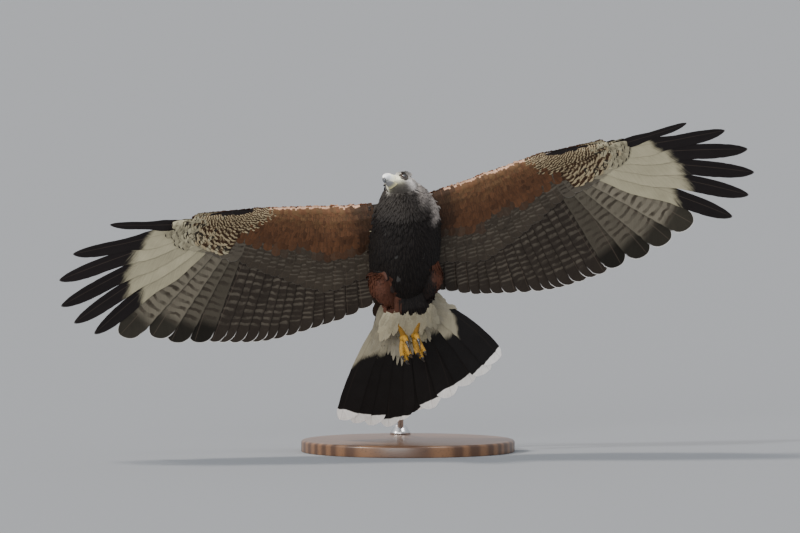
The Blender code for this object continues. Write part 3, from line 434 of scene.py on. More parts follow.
def vane_grid(root, tip, width, outline, drape, rows, columns, draw, lead=0.5, bow=0.0,
              tilt=0.0, lift=0.0, cup=0.0, fray=0.0):
    """The middle surface of a feather; drape puts plan places and heights on the body.

    Lift may be a function of a point's two plan places and its share of the way to the tip.
    """
    root, tip = np.asarray(root, float), np.asarray(tip, float)
    along = tip - root
    length = np.linalg.norm(along)
    ahead = np.array([along[1], -along[0]]) / length
    share = row_shares(rows)
    breadth = np.interp(share, outline[:, 0], outline[:, 1])
    across = np.linspace(-1, 1, columns)
    reach = np.where(across < 0, across * (1 - lead), across * lead)
    ragged = np.ones((rows, columns))
    ragged[:, [0, -1]] -= draw.random((rows, 2)) ** 3 * fray
    offset = width * breadth[:, None] * reach * ragged
    centre = root + along * share[:, None] + ahead * (4 * bow * share * (1 - share))[:, None]
    # Barbs sweep towards the tip, so the edge of a vane reaches further than its shaft's foot
    sweep = along / length * 0.1 * width
    place = centre[:, None, :] + ahead * offset[..., None]
    place = place + sweep * (np.abs(reach)[None, :, None] * (1 - share)[:, None, None])
    height = offset * math.tan(math.radians(tilt)) - cup * (offset / width) ** 2 * width
    if callable(lift):
        lift = lift(place[..., 0], place[..., 1], share[:, None])
    return drape(place[..., 0], place[..., 1], height + lift)


def wing_drape(side):
    return lambda forward, out, height: on_wing(forward, out, side, height)


# %% [markdown]
# Node trees are long to build by hand, so a small helper adds one node at a time and accepts
# either a number or another node's output for each input.

# %% A helper for node trees
class Tree:
    """Adds nodes to a tree; inputs may be values or sockets."""

    def __init__(self, tree, material=None, shader=None):
        self.tree, self.material, self.shader, self.count = tree, material, shader, 0

    def node(self, kind, inputs=(), **settings):
        made = self.tree.nodes.new(kind)
        made.location = (180 * (self.count % 12), -220 * (self.count // 12))
        self.count += 1
        for name, value in settings.items():
            setattr(made, name, value)
        for key, value in dict(inputs).items():
            self.feed(made.inputs[key], value)
        return made

    def feed(self, socket, value):
        if isinstance(value, bpy.types.NodeSocket):
            self.tree.links.new(value, socket)
        elif socket.type == "RGBA":
            socket.default_value = (*value, 1.0)
        else:
            socket.default_value = value

    def math(self, operation, first, second=0.0, clamp=False):
        return self.node("ShaderNodeMath", {0: first, 1: second}, operation=operation,
                         use_clamp=clamp).outputs[0]

    def times(self, first, second, clamp=False):
        return self.math("MULTIPLY", first, second, clamp)

    def plus(self, first, second):
        return self.math("ADD", first, second)

    def minus(self, first, second):
        return self.math("SUBTRACT", first, second)

    def step(self, value, low, high):
        """0 below low, 1 above high, smooth between; low may be above high."""
        return self.node("ShaderNodeMapRange", {"Value": value, "From Min": low, "From Max": high},
                         interpolation_type="SMOOTHSTEP").outputs["Result"]

    def mix(self, share, first, second, blend="MIX"):
        return self.node("ShaderNodeMix", {0: share, 6: first, 7: second}, data_type="RGBA",
                         blend_type=blend).outputs[2]

    def lit(self, colour, light):
        """A colour made lighter or darker by a factor."""
        grey = self.node("ShaderNodeCombineColor", {0: light, 1: light, 2: light}).outputs[0]
        return self.mix(1.0, colour, grey, "MULTIPLY")

    def joined(self, x, y, z=0.0):
        return self.node("ShaderNodeCombineXYZ", {0: x, 1: y, 2: z}).outputs[0]

    def parts(self, vector):
        return self.node("ShaderNodeSeparateXYZ", {0: vector}).outputs

    def vectors(self, operation, first, second):
        return self.node("ShaderNodeVectorMath", {0: first, 1: second}, operation=operation).outputs[0]

    def place(self):
        return self.node("ShaderNodeTexCoord").outputs["Object"]

    def noise(self, vector, scale, detail=2.0):
        return self.node("ShaderNodeTexNoise",
                         {"Vector": vector, "Scale": scale, "Detail": detail}).outputs["Fac"]

    def grain(self, scales, detail=2.0):
        """Noise stretched by its own scale along each axis of the piece."""
        return self.noise(self.vectors("MULTIPLY", self.place(), scales), 1.0, detail)

    def attribute(self, name, output="Fac"):
        return self.node("ShaderNodeAttribute", attribute_name=name).outputs[output]

    def dress(self, colour, height=None, strength=0.0, depth=0.0, rough=None):
        """Feed the material's colour, and its relief and roughness where they vary."""
        self.feed(self.shader.inputs["Base Color"], colour)
        if height is not None:
            bump = self.node("ShaderNodeBump", {"Strength": strength, "Distance": depth, "Height": height})
            self.feed(self.shader.inputs["Normal"], bump.outputs[0])
        if rough is not None:
            self.feed(self.shader.inputs["Roughness"], rough)
        return self.material


def new_group(name, inputs, outputs, kind="ShaderNodeTree"):
    """A node group with named sockets; returns it with its helper and two ends."""
    group = bpy.data.node_groups.new(name, kind)
    for way, sockets in (("INPUT", inputs), ("OUTPUT", outputs)):
        for label, socket_kind in sockets:
            group.interface.new_socket(label, in_out=way, socket_type="NodeSocket" + socket_kind)
    tree = Tree(group)
    return group, tree, tree.node("NodeGroupInput").outputs, tree.node("NodeGroupOutput").inputs


def new_material(name, rough=0.6, **sockets):
    material = bpy.data.materials.new(name)
    material.use_nodes = True
    shader = material.node_tree.nodes["Principled BSDF"]
    shader.inputs["Roughness"].default_value = rough
    for label, value in sockets.items():
        shader.inputs[label.replace("_", " ")].default_value = value
    return Tree(material.node_tree, material, shader)


# %% [markdown]
# All feathers share one pattern, drawn along and across the vane: a pale or dark panel from
# the root, cross bars, a streak on the shaft, a pale rim and a dark band before the tip, with
# the fine lines of the barbs over it all. It is a node group, so that flight feathers,
# coverts and body feathers can each place it with their own strength.

# %% The pattern of a feather
feeds = [("Place", "Vector"), ("Ground", "Color"), ("Mark", "Color"), ("Top", "Color"),
         ("Bars", "Vector"), ("Edges", "Vector"), ("Tip", "Float"), ("Tone", "Float"),
         ("Under", "Float"), ("Shaft", "Float"), ("Shaft Color", "Color"),
         ("Bleach", "Float"), ("Slant", "Float")]
ends = [("Color", "Color"), ("Height", "Float"), ("Roughness", "Float")]
VANE_PATTERN, t, given, out = new_group("vane pattern", feeds, ends)
u, v, _ = t.parts(given["Place"])
bars, bar_count, streak = t.parts(given["Bars"])
rim, band, panel = t.parts(given["Edges"])
tone = given["Tone"]
aside = t.times(t.math("ABSOLUTE", t.minus(u, 0.5)), 2.0)
shift = t.times(tone, 37.0)
cloud = t.noise(t.joined(t.times(u, 2.2), t.times(v, 9.0), shift), 1.0, 3.0)
uneven = t.minus(cloud, 0.5)

phase = t.plus(t.times(v, bar_count), t.times(aside, 0.28))
wave = t.math("SINE", t.times(t.plus(phase, t.times(uneven, 1.1)), 2 * math.pi))
barred = t.times(t.times(t.step(wave, -0.2, 0.8), bars), t.step(v, 0.88, 0.8))
# Bars fade out before the rim and next to the shaft, and are stronger on one web
barred = t.times(barred, t.step(aside, 1.0, 0.7))
barred = t.times(barred, t.plus(t.step(cloud, 0.3, 0.6), 0.15), clamp=True)
# A ragged border makes the panel look dusted on
slant = t.plus(v, t.times(aside, -0.1))
barbs = t.noise(t.joined(t.times(u, 2.0), t.times(slant, 110.0), shift), 1.0, 1.5)
border = t.plus(t.plus(v, t.times(uneven, 0.1)), t.times(t.minus(barbs, 0.5), 0.06))
border = t.plus(border, t.times(given["Slant"], t.minus(u, 0.5)))
pale = t.step(t.minus(panel, border), -0.035, 0.035)
marked = t.math("ABSOLUTE", t.minus(pale, barred))
streaked = t.times(t.step(aside, 0.34, 0.06), streak)
marked = t.math("MAXIMUM", marked, streaked, clamp=True)
ends_at = t.minus(1.0, given["Tip"])
ragged = t.plus(v, t.times(uneven, 0.035))
at_tip = t.step(t.minus(ragged, ends_at), -0.004, 0.004)
at_tip = t.times(at_tip, t.step(given["Tip"], 0.0, 0.02))

dark = t.mix(0.85, given["Ground"], (0.0, 0.0, 0.0))
ground = t.mix(t.times(t.step(v, 0.76, 0.86), band), given["Ground"], dark)
below = t.mix(marked, ground, given["Mark"])
whole = t.mix(given["Under"], given["Top"], below)
pure = t.mix(given["Bleach"], given["Mark"], (0.93, 0.92, 0.9))
whole = t.mix(at_tip, whole, pure)
# The pale rim follows the round end: 1 - (1 - v^2)(1 - u^2) is 1 all along the outline
ahead = t.times(t.minus(v, 0.88), 8.33, clamp=True)
inside = t.times(t.minus(1.0, t.times(ahead, ahead)), t.minus(1.0, t.times(aside, aside)))
edge = t.times(t.step(inside, 0.14, 0.04), t.step(v, 0.86, 0.93))
# Painted shade: the sides of a vane below its tip are darkened, as the shadow between overlapping
# feathers; the rim strength sets it too
painted_gap_shade = t.times(t.step(aside, 0.95, 0.985), t.step(v, 0.92, 0.86))
whole = t.mix(t.times(painted_gap_shade, t.times(rim, 0.8)), whole, dark)
bright = t.mix(0.9, whole, (0.9, 0.88, 0.85))
whole = t.mix(t.times(edge, rim), whole, bright)
on_shaft = t.times(t.step(aside, 0.055, 0.02), given["Shaft"])
whole = t.mix(on_shaft, whole, given["Shaft Color"])

light = t.plus(t.times(barbs, 0.34), t.times(tone, 0.22))
light = t.plus(t.plus(light, t.times(uneven, 0.4)), 0.74)
t.feed(out["Color"], t.lit(whole, light))
t.feed(out["Height"], t.plus(barbs, t.times(on_shaft, 1.5)))
t.feed(out["Roughness"], t.plus(t.times(barbs, 0.2), 0.48))


def feather_material(name, shaft, shaft_colour, bump=0.35, bleach=0.0):
    t = new_material(name, Specular_IOR_Level=0.14)
    feeds = {label: t.attribute(name, output) for label, name, output in (
        ("Ground", "ground", "Color"), ("Mark", "mark", "Color"), ("Top", "top", "Color"),
        ("Bars", "pattern_a", "Vector"), ("Edges", "pattern_b", "Vector"),
        ("Tip", "tip", "Fac"), ("Tone", "tone", "Fac"), ("Under", "under", "Fac"),
        ("Slant", "slant", "Fac"))}
    feeds["Place"] = t.node("ShaderNodeUVMap", uv_map="vane").outputs[0]
    feeds.update({"Shaft": shaft, "Shaft Color": shaft_colour, "Bleach": bleach})
    group = t.node("ShaderNodeGroup", feeds, node_tree=VANE_PATTERN)
    return t.dress(group.outputs["Color"], group.outputs["Height"], bump, 0.0004,
                   group.outputs["Roughness"])


FLIGHT_FINISH = feather_material("flight feather", 0.25, (0.12, 0.09, 0.07))
TAIL_FINISH = feather_material("tail feather", 0.2, (0.04, 0.03, 0.025), bleach=0.85)
COVERT_FINISH = feather_material("covert feather", 0.25, (0.1, 0.07, 0.05), 0.25)

# %% [markdown]
# The flight feathers. From below the primaries are pale at the base, as if dusted with
# cream, and end in blackish fingers; the inner ones and the secondaries are grey-brown with
# narrow pale bars and a darker end with a thin pale rim. From above all are dark brown.

# %% Flight feathers
BLACKISH = (0.0115, 0.009, 0.0092)
DARK_BROWN = (0.029, 0.0225, 0.0178)
CREAM = (0.35, 0.318, 0.216)
BAR_GREY = (0.084, 0.072, 0.056)
CHESTNUT = (0.126, 0.056, 0.027)
OLIVE = (0.13, 0.096, 0.043)
BACK_BROWN = (0.0312, 0.0203, 0.0148)

FLIGHT_THICKNESS = 0.55 * MM
INNER_PRIMARY_WIDTH = 0.043
PRIMARY_WIDTH = 0.037
OUTER_PRIMARIES = {9: (0.032, 0.36, 0.001), 10: (0.019, 0.46, -0.001)}
SECONDARY_WIDTH = 0.034
VANE_TILT = 3.6  # degrees that a leading edge is raised
ROUND_REACH = 0.997  # broad rounded tips look longer than the solids' blunt ones


def primary_look(number):
    """Fingers are plain and dark beyond a cream base; the inner ones are mottled grey-brown."""
    if number >= FIRST_FINGER:
        ends = {5: 0.63, 6: 0.61, 7: 0.56, 8: 0.5, 9: 0.45, 10: 0.16}
        return Look(BLACKISH, CREAM, BACK_BROWN, rim=0.1, panel=ends[number], slant=0.1)
    outward = number / FIRST_FINGER
    ground = mixed((0.044, 0.037, 0.028), (0.205, 0.182, 0.137), outward ** 1.4)
    mark = mixed(DARK_BROWN, (0.03, 0.023, 0.016), outward)
    return Look(ground, mark, BACK_BROWN, 0.62 + 0.2 * outward, 17, rim=0.75, band=0.95)


def flight_patch(index, count):
    """The cell of a flight feather in its own bake map: its middle, and its underside's step."""
    return ((index + 0.5) / count / 2, 0.5, 0.5)


def make_flight_feathers(side):
    primaries, inner = flight_axes(side)
    batch = Batch("flight_feathers_" + SIDES[side], 11 + side, wing_drape(side))
    total = len(primaries) + len(inner)
    shape = {"tilt": VANE_TILT, "cup": 0.08}
    for number, (root, tip) in enumerate(primaries, 1):
        finger = number >= FIRST_FINGER
        usual = (PRIMARY_WIDTH if finger else INNER_PRIMARY_WIDTH, 0.38, 0.005)
        width, lead, bow = OUTER_PRIMARIES.get(number, usual)
        if not finger:
            tip = root + (np.asarray(tip) - root) * ROUND_REACH
        batch.add(root, tip, width, FINGER if finger else ROUND, (34, 9), FLIGHT_THICKNESS,
                  primary_look(number), flight_patch(number - 1, total), lead=lead, bow=bow,
                  fray=0.05, **shape)
    look = Look(DARK_BROWN, BAR_GREY, BACK_BROWN, 0.75, 16, rim=0.85)
    for number, (root, tip) in enumerate(inner):
        batch.add(root, root + (tip - root) * ROUND_REACH, SECONDARY_WIDTH, ROUND, (26, 9),
                  FLIGHT_THICKNESS, look, flight_patch(10 + number, total), lead=0.45, fray=0.09, **shape)
    batch.finish(FLIGHT_FINISH, (0.46 / total, 0.96))


for side in SIDES:
    make_flight_feathers(side)

# %% [markdown]
# Coverts clothe the arm in rows, like tiles: the smallest on the front edge, larger ones
# behind, and one long greater covert over the root of every flight feather. Each row starts
# a little further back, so it is covered by the row in front of it. They hug the arm, so
# their height is the arm's own depth and a little more towards the tip.

# %% Where the coverts lie
BESIDE = (ARM_STATIONS[:, 1] + ARM_STATIONS[:, 3]) / 2
FLIGHT_DEPTH = 2.4 * MM  # half the height of the overlapping flight feathers
COVERT_RISE = 1.5 * MM  # how far a tip stands above the next row's roots
FOREARM_CHORD = 0.095

# Rows over the roots of the primaries: distance from the root and length
HAND_ROWS = ((0.032, 0.034), (0.02, 0.03), (0.009, 0.027), (-0.002, 0.024))
HAND_WIDTH = 0.014
# Place on the chord, length, width, spacing along the arm, all but the first in millimetres
SMALL_ROWS = [(-0.015, 11, 7.0, 3.6), (0.02, 12, 6.6, 3.7), (0.062, 14, 6.8, 3.8),
              (0.108, 15, 7.0, 3.9), (0.158, 17, 7.2, 4.1), (0.212, 19, 7.5, 4.3),
              (0.272, 21, 7.8, 4.5), (0.338, 23, 8.2, 4.8), (0.41, 26, 9.0, 5.3),
              (0.49, 30, 11.0, 6.4), (0.59, 37, 15.0, 8.6), (0.7, 46, 20.0, 12.0)]
GREATER_LENGTH = 0.066
GREATER_WIDTH = 0.027
ALULA = [((0.11, 0.24), (0.117, 0.322), 9.5), ((0.111, 0.236), (0.118, 0.304), 9.5),
         ((0.112, 0.232), (0.119, 0.286), 9.0), ((0.112, 0.226), (0.119, 0.268), 8.0)]
ALULA_SPAN = (0.236, 0.285)


def half_depth(forward, out, side):
    """How far the arm's faces lie from the wing's middle surface, and the vanes' behind it."""
    position = np.interp(out, BESIDE, STEPS)
    front = np.interp(position, STEPS, ARM_STATIONS[:, 0]) + hand_shift(out, side)
    rear = np.interp(position, STEPS, ARM_STATIONS[:, 2]) + hand_shift(out, side)
    chord = (front - forward) / (front - rear)
    behind = np.clip((chord - 1.0) / 0.5, 0.0, 1.0)
    on_arm = arm_half_thickness(position, np.clip(chord, 0.0, 1.0))
    return on_arm * (1 - behind) + FLIGHT_DEPTH * behind


def lie_of_coverts(axes):
    """The direction in which small feathers point, found from the flight feathers behind."""
    roots = np.array([root[1] for root, tip in axes])
    turns = np.array([math.atan2(tip[1] - root[1], root[0] - tip[0]) for root, tip in axes])
    order = np.argsort(roots)
    return lambda out: np.interp(out, roots[order], turns[order])


def on_face(face, side, start, rise):
    """Lift for a feather on one face of the wing: 1 above, -1 below."""
    def lift(forward, out, share):
        return face * (half_depth(forward, out, side) + start + (rise - start) * share)
    return lift


# %% [markdown]
# The colours of the lining change from place to place: blackish at the body, chestnut with
# darker streaks along the arm, scalloped with cream and brown at the wrist, and cream with
# grey on the hand. Above, the shoulders are rufous and the rest is dark brown. The front
# edge also carries painted sunlight: a pale peach rim below and a brighter rufous above.

# %% Colours of the coverts
SEPIA = (0.0117, 0.0078, 0.0059)
WRIST_BROWN = (0.037, 0.019, 0.0098)
WRIST_CREAM = (0.34, 0.275, 0.168)
HAND_GREY = (0.0234, 0.0179, 0.0133)
LINING_GREY = (0.0546, 0.0413, 0.0281)
LINING_DARK = (0.044, 0.0352, 0.0268)
# rufous of the front edge above, made brighter as a painted sunlit rim
RUFOUS_EDGE_AND_PAINTED_SUN = (0.328, 0.133, 0.0663)
# painted sunlit rim of the lining's front edge
PAINTED_SUNLIT_EDGE = (0.54, 0.33, 0.22)
SHOULDER = (0.121, 0.039, 0.0156)


def lining_look(out, chord, draw, length=25.0):
    at_body = 1 - eased(out + draw.normal(0, 0.004), 0.068, 0.098)
    at_wrist = eased(out + 0.06 * (0.5 - chord) + draw.normal(0, 0.005), 0.222, 0.246)
    on_hand = eased(out + draw.normal(0, 0.008), 0.275, 0.33)
    # Painted sunlight: the smallest coverts on the front edge get a pale peach panel, where the sun
    # catches the edge
    painted_sun_panel = 0.3 if chord < 0.012 and 0.066 < out < 0.238 else 0.0
    if draw.random() < on_hand:
        if draw.random() < eased(out, 0.285, 0.345):
            return Look(mixed(CREAM, LINING_GREY, draw.random() * 0.35), HAND_GREY, BACK_BROWN,
                        0.45, 3.0, rim=0.1, tip=0.05)
        return Look(HAND_GREY, mixed(CREAM, WRIST_CREAM, draw.random()), BACK_BROWN, 0.9, 2.6, tip=0.13)
    if draw.random() < at_wrist:
        shade = draw.uniform(0.7, 1.25)
        patch = eased(chord, 0.4, 0.6) * eased(out, 0.236, 0.25)
        patch *= 1 - eased(out, 0.285, 0.3)
        ground = tuple(shade * value for value in WRIST_BROWN)
        return Look(ground, mixed(WRIST_CREAM, WRIST_BROWN, 0.75 * patch), BACK_BROWN, 0.9, 3.3,
                    tip=0.12 * (1 - patch))
    if draw.random() < 0.04 and out < 0.085 and 0.25 < chord < 0.48:
        return Look(SEPIA, CREAM, BACK_BROWN, tip=0.1)
    # Behind the chestnut the feathers are grey and barred like the secondaries
    border = 0.62 - 0.06 * eased(out, 0.1, 0.14) + 0.22 * eased(out, 0.15, 0.2)
    behind = eased(chord + draw.normal(0, 0.02), border - 0.09, border + 0.05)
    if behind == 1:
        return Look(LINING_DARK, BAR_GREY, BACK_BROWN, 0.85, length / 7.0, rim=0.02)
    near_front = 1 - eased(chord, 0.02, 0.36)
    ground = mixed(CHESTNUT, OLIVE, near_front * draw.uniform(0.0, 0.4))
    ground = mixed(ground, SEPIA, max(draw.random() ** 2 * 0.4 + 0.2 * (1 - near_front), 0.8 * at_body))
    ground = mixed(ground, LINING_DARK, behind)
    mark = mixed(mixed(SEPIA, CHESTNUT, draw.uniform(0.2, 0.6)), BAR_GREY, behind)
    if painted_sun_panel:
        return Look(ground, PAINTED_SUNLIT_EDGE, SHOULDER, panel=painted_sun_panel)
    return Look(ground, mark, BACK_BROWN, 0.5 * near_front + 0.4 * behind, 3.5, rim=0.03,
                streak=draw.uniform(0.3, 0.8) * (1 - behind))


def back_look(out, chord, draw):
    shoulder = 1 - eased(chord + draw.normal(0, 0.05), 0.2, 0.42)
    shoulder *= 1 - 0.6 * eased(out, 0.22, 0.3)
    top = mixed(BACK_BROWN, SHOULDER, shoulder * draw.uniform(0.6, 1.0))
    # The front edge above is rufous, and made brighter there as a painted sunlit rim
    if chord < 0.05:
        top = mixed(top, RUFOUS_EDGE_AND_PAINTED_SUN, 0.6 * (1 - eased(out, 0.2, 0.25)))
    return Look(top, top, top, rim=0.22)


def greater_look(index, primaries):
    """The long covert under a flight feather; primaries counts those of the hand."""
    if index < primaries:
        pale = eased(index, 2.5, 6.5)
        ground = mixed(BAR_GREY, (0.38, 0.345, 0.235), pale)
        return Look(ground, mixed(DARK_BROWN, HAND_GREY, pale), BACK_BROWN, 0.8, 9, rim=0.1)
    return Look(LINING_DARK, BAR_GREY, BACK_BROWN, 0.9, 9, rim=0.04)


# %% [markdown]
# Every wing gets two sheets of coverts, one above and one below. Each is laid from the rear
# to the front edge: the greater coverts over the flight feathers, the rows of the hand, then
# the rows of the arm, and below the few stiff feathers of the thumb.

# %% Clothe both wings
def make_coverts(side, face):
    primaries, inner = flight_axes(side)
    axes = [(np.asarray(root, float), np.asarray(tip, float)) for root, tip in primaries + inner]
    turn_at = lie_of_coverts(axes)
    word = SIDES[side] + ("_upper" if face > 0 else "_lower")
    batch = Batch("coverts_" + word, 100 + 10 * side + face, wing_drape(side))
    draw = batch.draw

    def patch_at(place):
        return (place[1] / 0.6 + (0.5 if face > 0 else 0.0), place[0] + 0.5, 0.25)

    for index, (root, tip) in enumerate(axes):
        along = (tip - root) / np.linalg.norm(tip - root)
        length = GREATER_LENGTH * draw.uniform(0.96, 1.04)
        width = GREATER_WIDTH
        if 7 <= index < 10:
            length, width = length * 0.85, width * (0.62 + 0.13 * (9 - index))
        start = root - along * 0.008
        batch.add(start, start + along * length, width, COVERT, (12, 7), 0.32 * MM,
                  greater_look(index, len(primaries)), patch_at(start), lead=0.45, tilt=1.6,
                  lift=on_face(face, side, 0.0, 0.0009), cup=0.04, fray=0.1)
    steps, ends = np.arange(len(primaries)), np.array(axes[:len(primaries)])
    for index in np.arange(1.0, len(primaries) - 0.9, 0.5):
        root, tip = (np.array([np.interp(index, steps, ends[:, end, row]) for row in (0, 1)])
                     for end in (0, 1))
        along = (tip - root) / np.linalg.norm(tip - root)
        for distance, length in HAND_ROWS[0 if 5 < index < 8.2 else 1:]:
            start = root + along * (distance + draw.normal(0, 0.0015))
            batch.add(start, start + along * length * draw.uniform(0.9, 1.1), HAND_WIDTH, COVERT,
                      (8, 5), 0.3 * MM, lambda: (back_look(start[1], 0.5, draw) if face > 0 else
                                                 lining_look(start[1] + 0.5 * distance, 0.35, draw)),
                      patch_at(start), tilt=3.0 * face, lift=on_face(face, side, 0.0006, 0.0022),
                      cup=0.08 * face, fray=0.12)
    for chord, length, width, spacing in reversed(SMALL_ROWS):
        for out in np.arange(0.048 + draw.random() * spacing * MM, 0.32, spacing * MM):
            out = out + draw.normal(0, 0.12 * spacing * MM)
            if face < 0 and chord < 0.05 and ALULA_SPAN[0] < out < ALULA_SPAN[1]:
                continue
            position = np.interp(out, BESIDE, STEPS)
            here = chord + draw.normal(0, 0.01)
            start = np.array(arm_place(position, here, side))
            depth = np.interp(position, STEPS, ARM_STATIONS[:, 0] - ARM_STATIONS[:, 2])
            scale = (0.5 + 0.5 * min(1.0, depth / FOREARM_CHORD)) * draw.uniform(0.92, 1.08)
            turn = float(turn_at(start[1])) + draw.normal(0, 0.06)
            turn += 0.45 * (1 - here) * eased(out, 0.2, 0.27)
            end = start + length * MM * scale * np.array([-math.cos(turn), math.sin(turn)])
            rise = min(COVERT_RISE, 0.065 * length * MM)
            batch.add(start, end, width * MM * (0.4 + 0.6 * scale), COVERT, (8, 5), 0.24 * MM,
                      lambda: (back_look(out, here, draw) if face > 0 else
                               lining_look(out, here, draw, length)),
                      patch_at(start), tilt=2.0 * face, lift=on_face(face, side, -0.0004, rise),
                      cup=0.03 * face, fray=0.18)
    if face < 0:
        for (root, tip, width), lift in zip(ALULA, (-0.0016, -0.0026, -0.0034, -0.004)):
            root, tip = (np.array(place) + (hand_shift(place[1], side), 0.0) for place in (root, tip))
            batch.add(root, tip, width * MM, ROUND, (14, 7), 0.45 * MM, Look(BLACKISH, rim=0.08),
                      patch_at(root), lead=0.4, tilt=9.0, lift=lift, cup=0.2, fray=0.05)
    batch.finish(COVERT_FINISH, 0.003)


for side in SIDES:
    for face in (-1, 1):
        make_coverts(side, face)

# %% [markdown]
# The tail is a fan of twelve feathers in a plane of its own, seen from below with the
# outermost in front. Each is black with a white tip, and the outer ones also begin white.
# Long white coverts, a few of them spotted, hang over their roots. Places on the fan are
# measured back from its root and to the bird's left.

# %% The plane of the tail
TAIL_ROOT = np.array((-0.0725, -0.012, 0.008))
TAIL_PITCH, TAIL_ROLL = math.radians(-2.0), math.radians(7.0)
TAIL_ROOTS = ((0.014, -0.022), (0.014, 0.034))
TAIL_TIPS = [(0.19, -0.116), (0.203, -0.093), (0.2155, -0.066), (0.227, -0.036),
             (0.222, -0.012), (0.215, 0.006), (0.214, 0.022), (0.216, 0.04), (0.203, 0.073),
             (0.188, 0.108), (0.174, 0.137), (0.156, 0.156)]
TAIL_WIDTH = 0.04
TAIL_BOW = 0.01
TAIL_STACK = 1.0 * MM
TAIL_BACK = np.array((-math.cos(TAIL_PITCH), 0.0, math.sin(TAIL_PITCH)))
TAIL_UP = np.array((math.sin(TAIL_PITCH), 0.0, math.cos(TAIL_PITCH)))
TAIL_LEFT = np.array((0.0, math.cos(TAIL_ROLL), 0.0)) + TAIL_UP * math.sin(TAIL_ROLL)
TAIL_TOP = -np.cross(TAIL_BACK, TAIL_LEFT)


def on_tail(back, left, lift):
    """A point over the tail's fan from its distances back and to the left."""
    places = np.broadcast_arrays(back, left, lift)
    return (TAIL_ROOT + places[0][..., None] * TAIL_BACK + places[1][..., None] * TAIL_LEFT
            + places[2][..., None] * TAIL_TOP)


def tail_drape(forward, left, height):
    return on_tail(-forward, left, height)


def plan(place):
    """Back and left become forward and out, as feathers are laid out."""
    return (-place[0], place[1])


# %% [markdown]
# The middle pair of tail feathers lies on top, and every next one lies a little below its
# neighbour, so the fan can close. The marks are given feather by feather, because they
# change from much white outside to a nearly black middle.

# %% Tail feathers
TAIL_BLACK = (0.0108, 0.0098, 0.0097)
TAIL_BROWN = (0.0281, 0.0203, 0.0164)
VENT_WHITE = (0.32, 0.29, 0.208)
DULL_WHITE = (0.29, 0.27, 0.222)
TAIL_FEATHER = smooth_rows([(0.0, 0.3), (0.25, 0.72), (0.6, 0.92), (0.87, 1.0), (0.945, 0.85),
                            (0.985, 0.5), (1.0, 0.2)], 60)
# White at the root and at the tip, as shares of the feather, and how much longer the white
# of the root is on the right web than on the left
TAIL_MARKS = [(0.46, 0.086, 0.18), (0.44, 0.084, 0.1), (0.38, 0.084, 0.05),
              (0.33, 0.07, 0.05), (0.28, 0.03, 0.0), (0.25, 0.0, 0.0), (0.25, 0.07, 0.0),
              (0.27, 0.078, 0.0), (0.32, 0.088, -0.05), (0.4, 0.09, -0.1),
              (0.5, 0.088, -0.1), (0.34, 0.082, 0.4)]


batch = Batch("tail_feathers", 31, tail_drape)
middle = (len(TAIL_TIPS) - 1) / 2
for index, (root, tip) in enumerate(zip(evenly(TAIL_ROOTS, len(TAIL_TIPS)), TAIL_TIPS)):
    below = -TAIL_STACK * (abs(index - middle) - 0.5)
    panel, white_tip, slant = TAIL_MARKS[index]
    aside = (index - middle) / middle
    batch.add(plan(root), plan(tip), TAIL_WIDTH, TAIL_FEATHER, (30, 9), 0.55 * MM,
              Look(TAIL_BLACK, VENT_WHITE, TAIL_BROWN, panel=panel, tip=white_tip, slant=slant),
              flight_patch(index, len(TAIL_TIPS)), lead=0.5 - 0.24 * aside,
              bow=TAIL_BOW * aside, cup=0.05, fray=0.05,
              lift=TAIL_STACK if index == len(TAIL_TIPS) // 2 else below)
batch.finish(TAIL_FINISH, (0.46 / len(TAIL_TIPS), 0.96))

# %% [markdown]
# The coverts under the tail are soft and ragged. They come in rows from the vent, and the
# longest reach half way down the fan. Three rows of firmer ones lie above it.

# %% Coverts of the tail
TUFT = smooth_rows([(0.0, 0.55), (0.3, 0.95), (0.6, 1.0), (0.82, 0.74), (0.94, 0.4), (1.0, 0.1)], 60)
# Where the white tufts end below the tail: back and left
UNDER_TIPS = [(0.06, -0.062), (0.101, -0.069), (0.089, -0.048), (0.103, -0.024), (0.123, -0.007),
              (0.108, 0.014), (0.096, 0.041), (0.076, 0.054), (0.067, 0.082), (0.046, 0.094)]


batch = Batch("tail_coverts", 32, tail_drape)
draw = batch.draw
tips = smooth_rows(UNDER_TIPS, 34)
# Start, share of the way to those ends and depth below the fan, tier by tier
UNDER_TIERS = ((0.034, 1.0, 5.4), (0.026, 0.9, 6.4), (0.016, 0.78, 7.5), (0.006, 0.64, 8.7),
               (-0.004, 0.5, 9.8))
for tier, (start, reach, depth) in enumerate(UNDER_TIERS):
    for index, tip in enumerate(tips):
        share = (index + 0.5 * (tier % 2)) / (len(tips) - 1)
        root = np.array((start, -0.03 + 0.066 * share + draw.normal(0, 0.001)))
        end = root + (tip - root) * reach * draw.uniform(0.86, 1.06)
        end[1] += draw.normal(0, 0.0015)
        spotted = tier == 0 and draw.random() < 0.15
        white = mixed(VENT_WHITE, DULL_WHITE, draw.random() * 0.5)
        look = Look(white, TAIL_BLACK, DULL_WHITE, 0.85 * spotted, 2.2, 0.25 * spotted)
        near, far = depth * MM, depth * MM * 0.55 + 2.0 * MM
        batch.add(plan(root), plan(end), 0.0095, TUFT, (10, 5), 0.2 * MM, look,
                  (share, 0.25 * tier + 0.1, 0.05), bow=draw.normal(0, 0.0012),
                  tilt=draw.normal(0, 2.5), lift=lambda *at: -(near + (far - near) * at[2]),
                  cup=-0.03, fray=0.4)
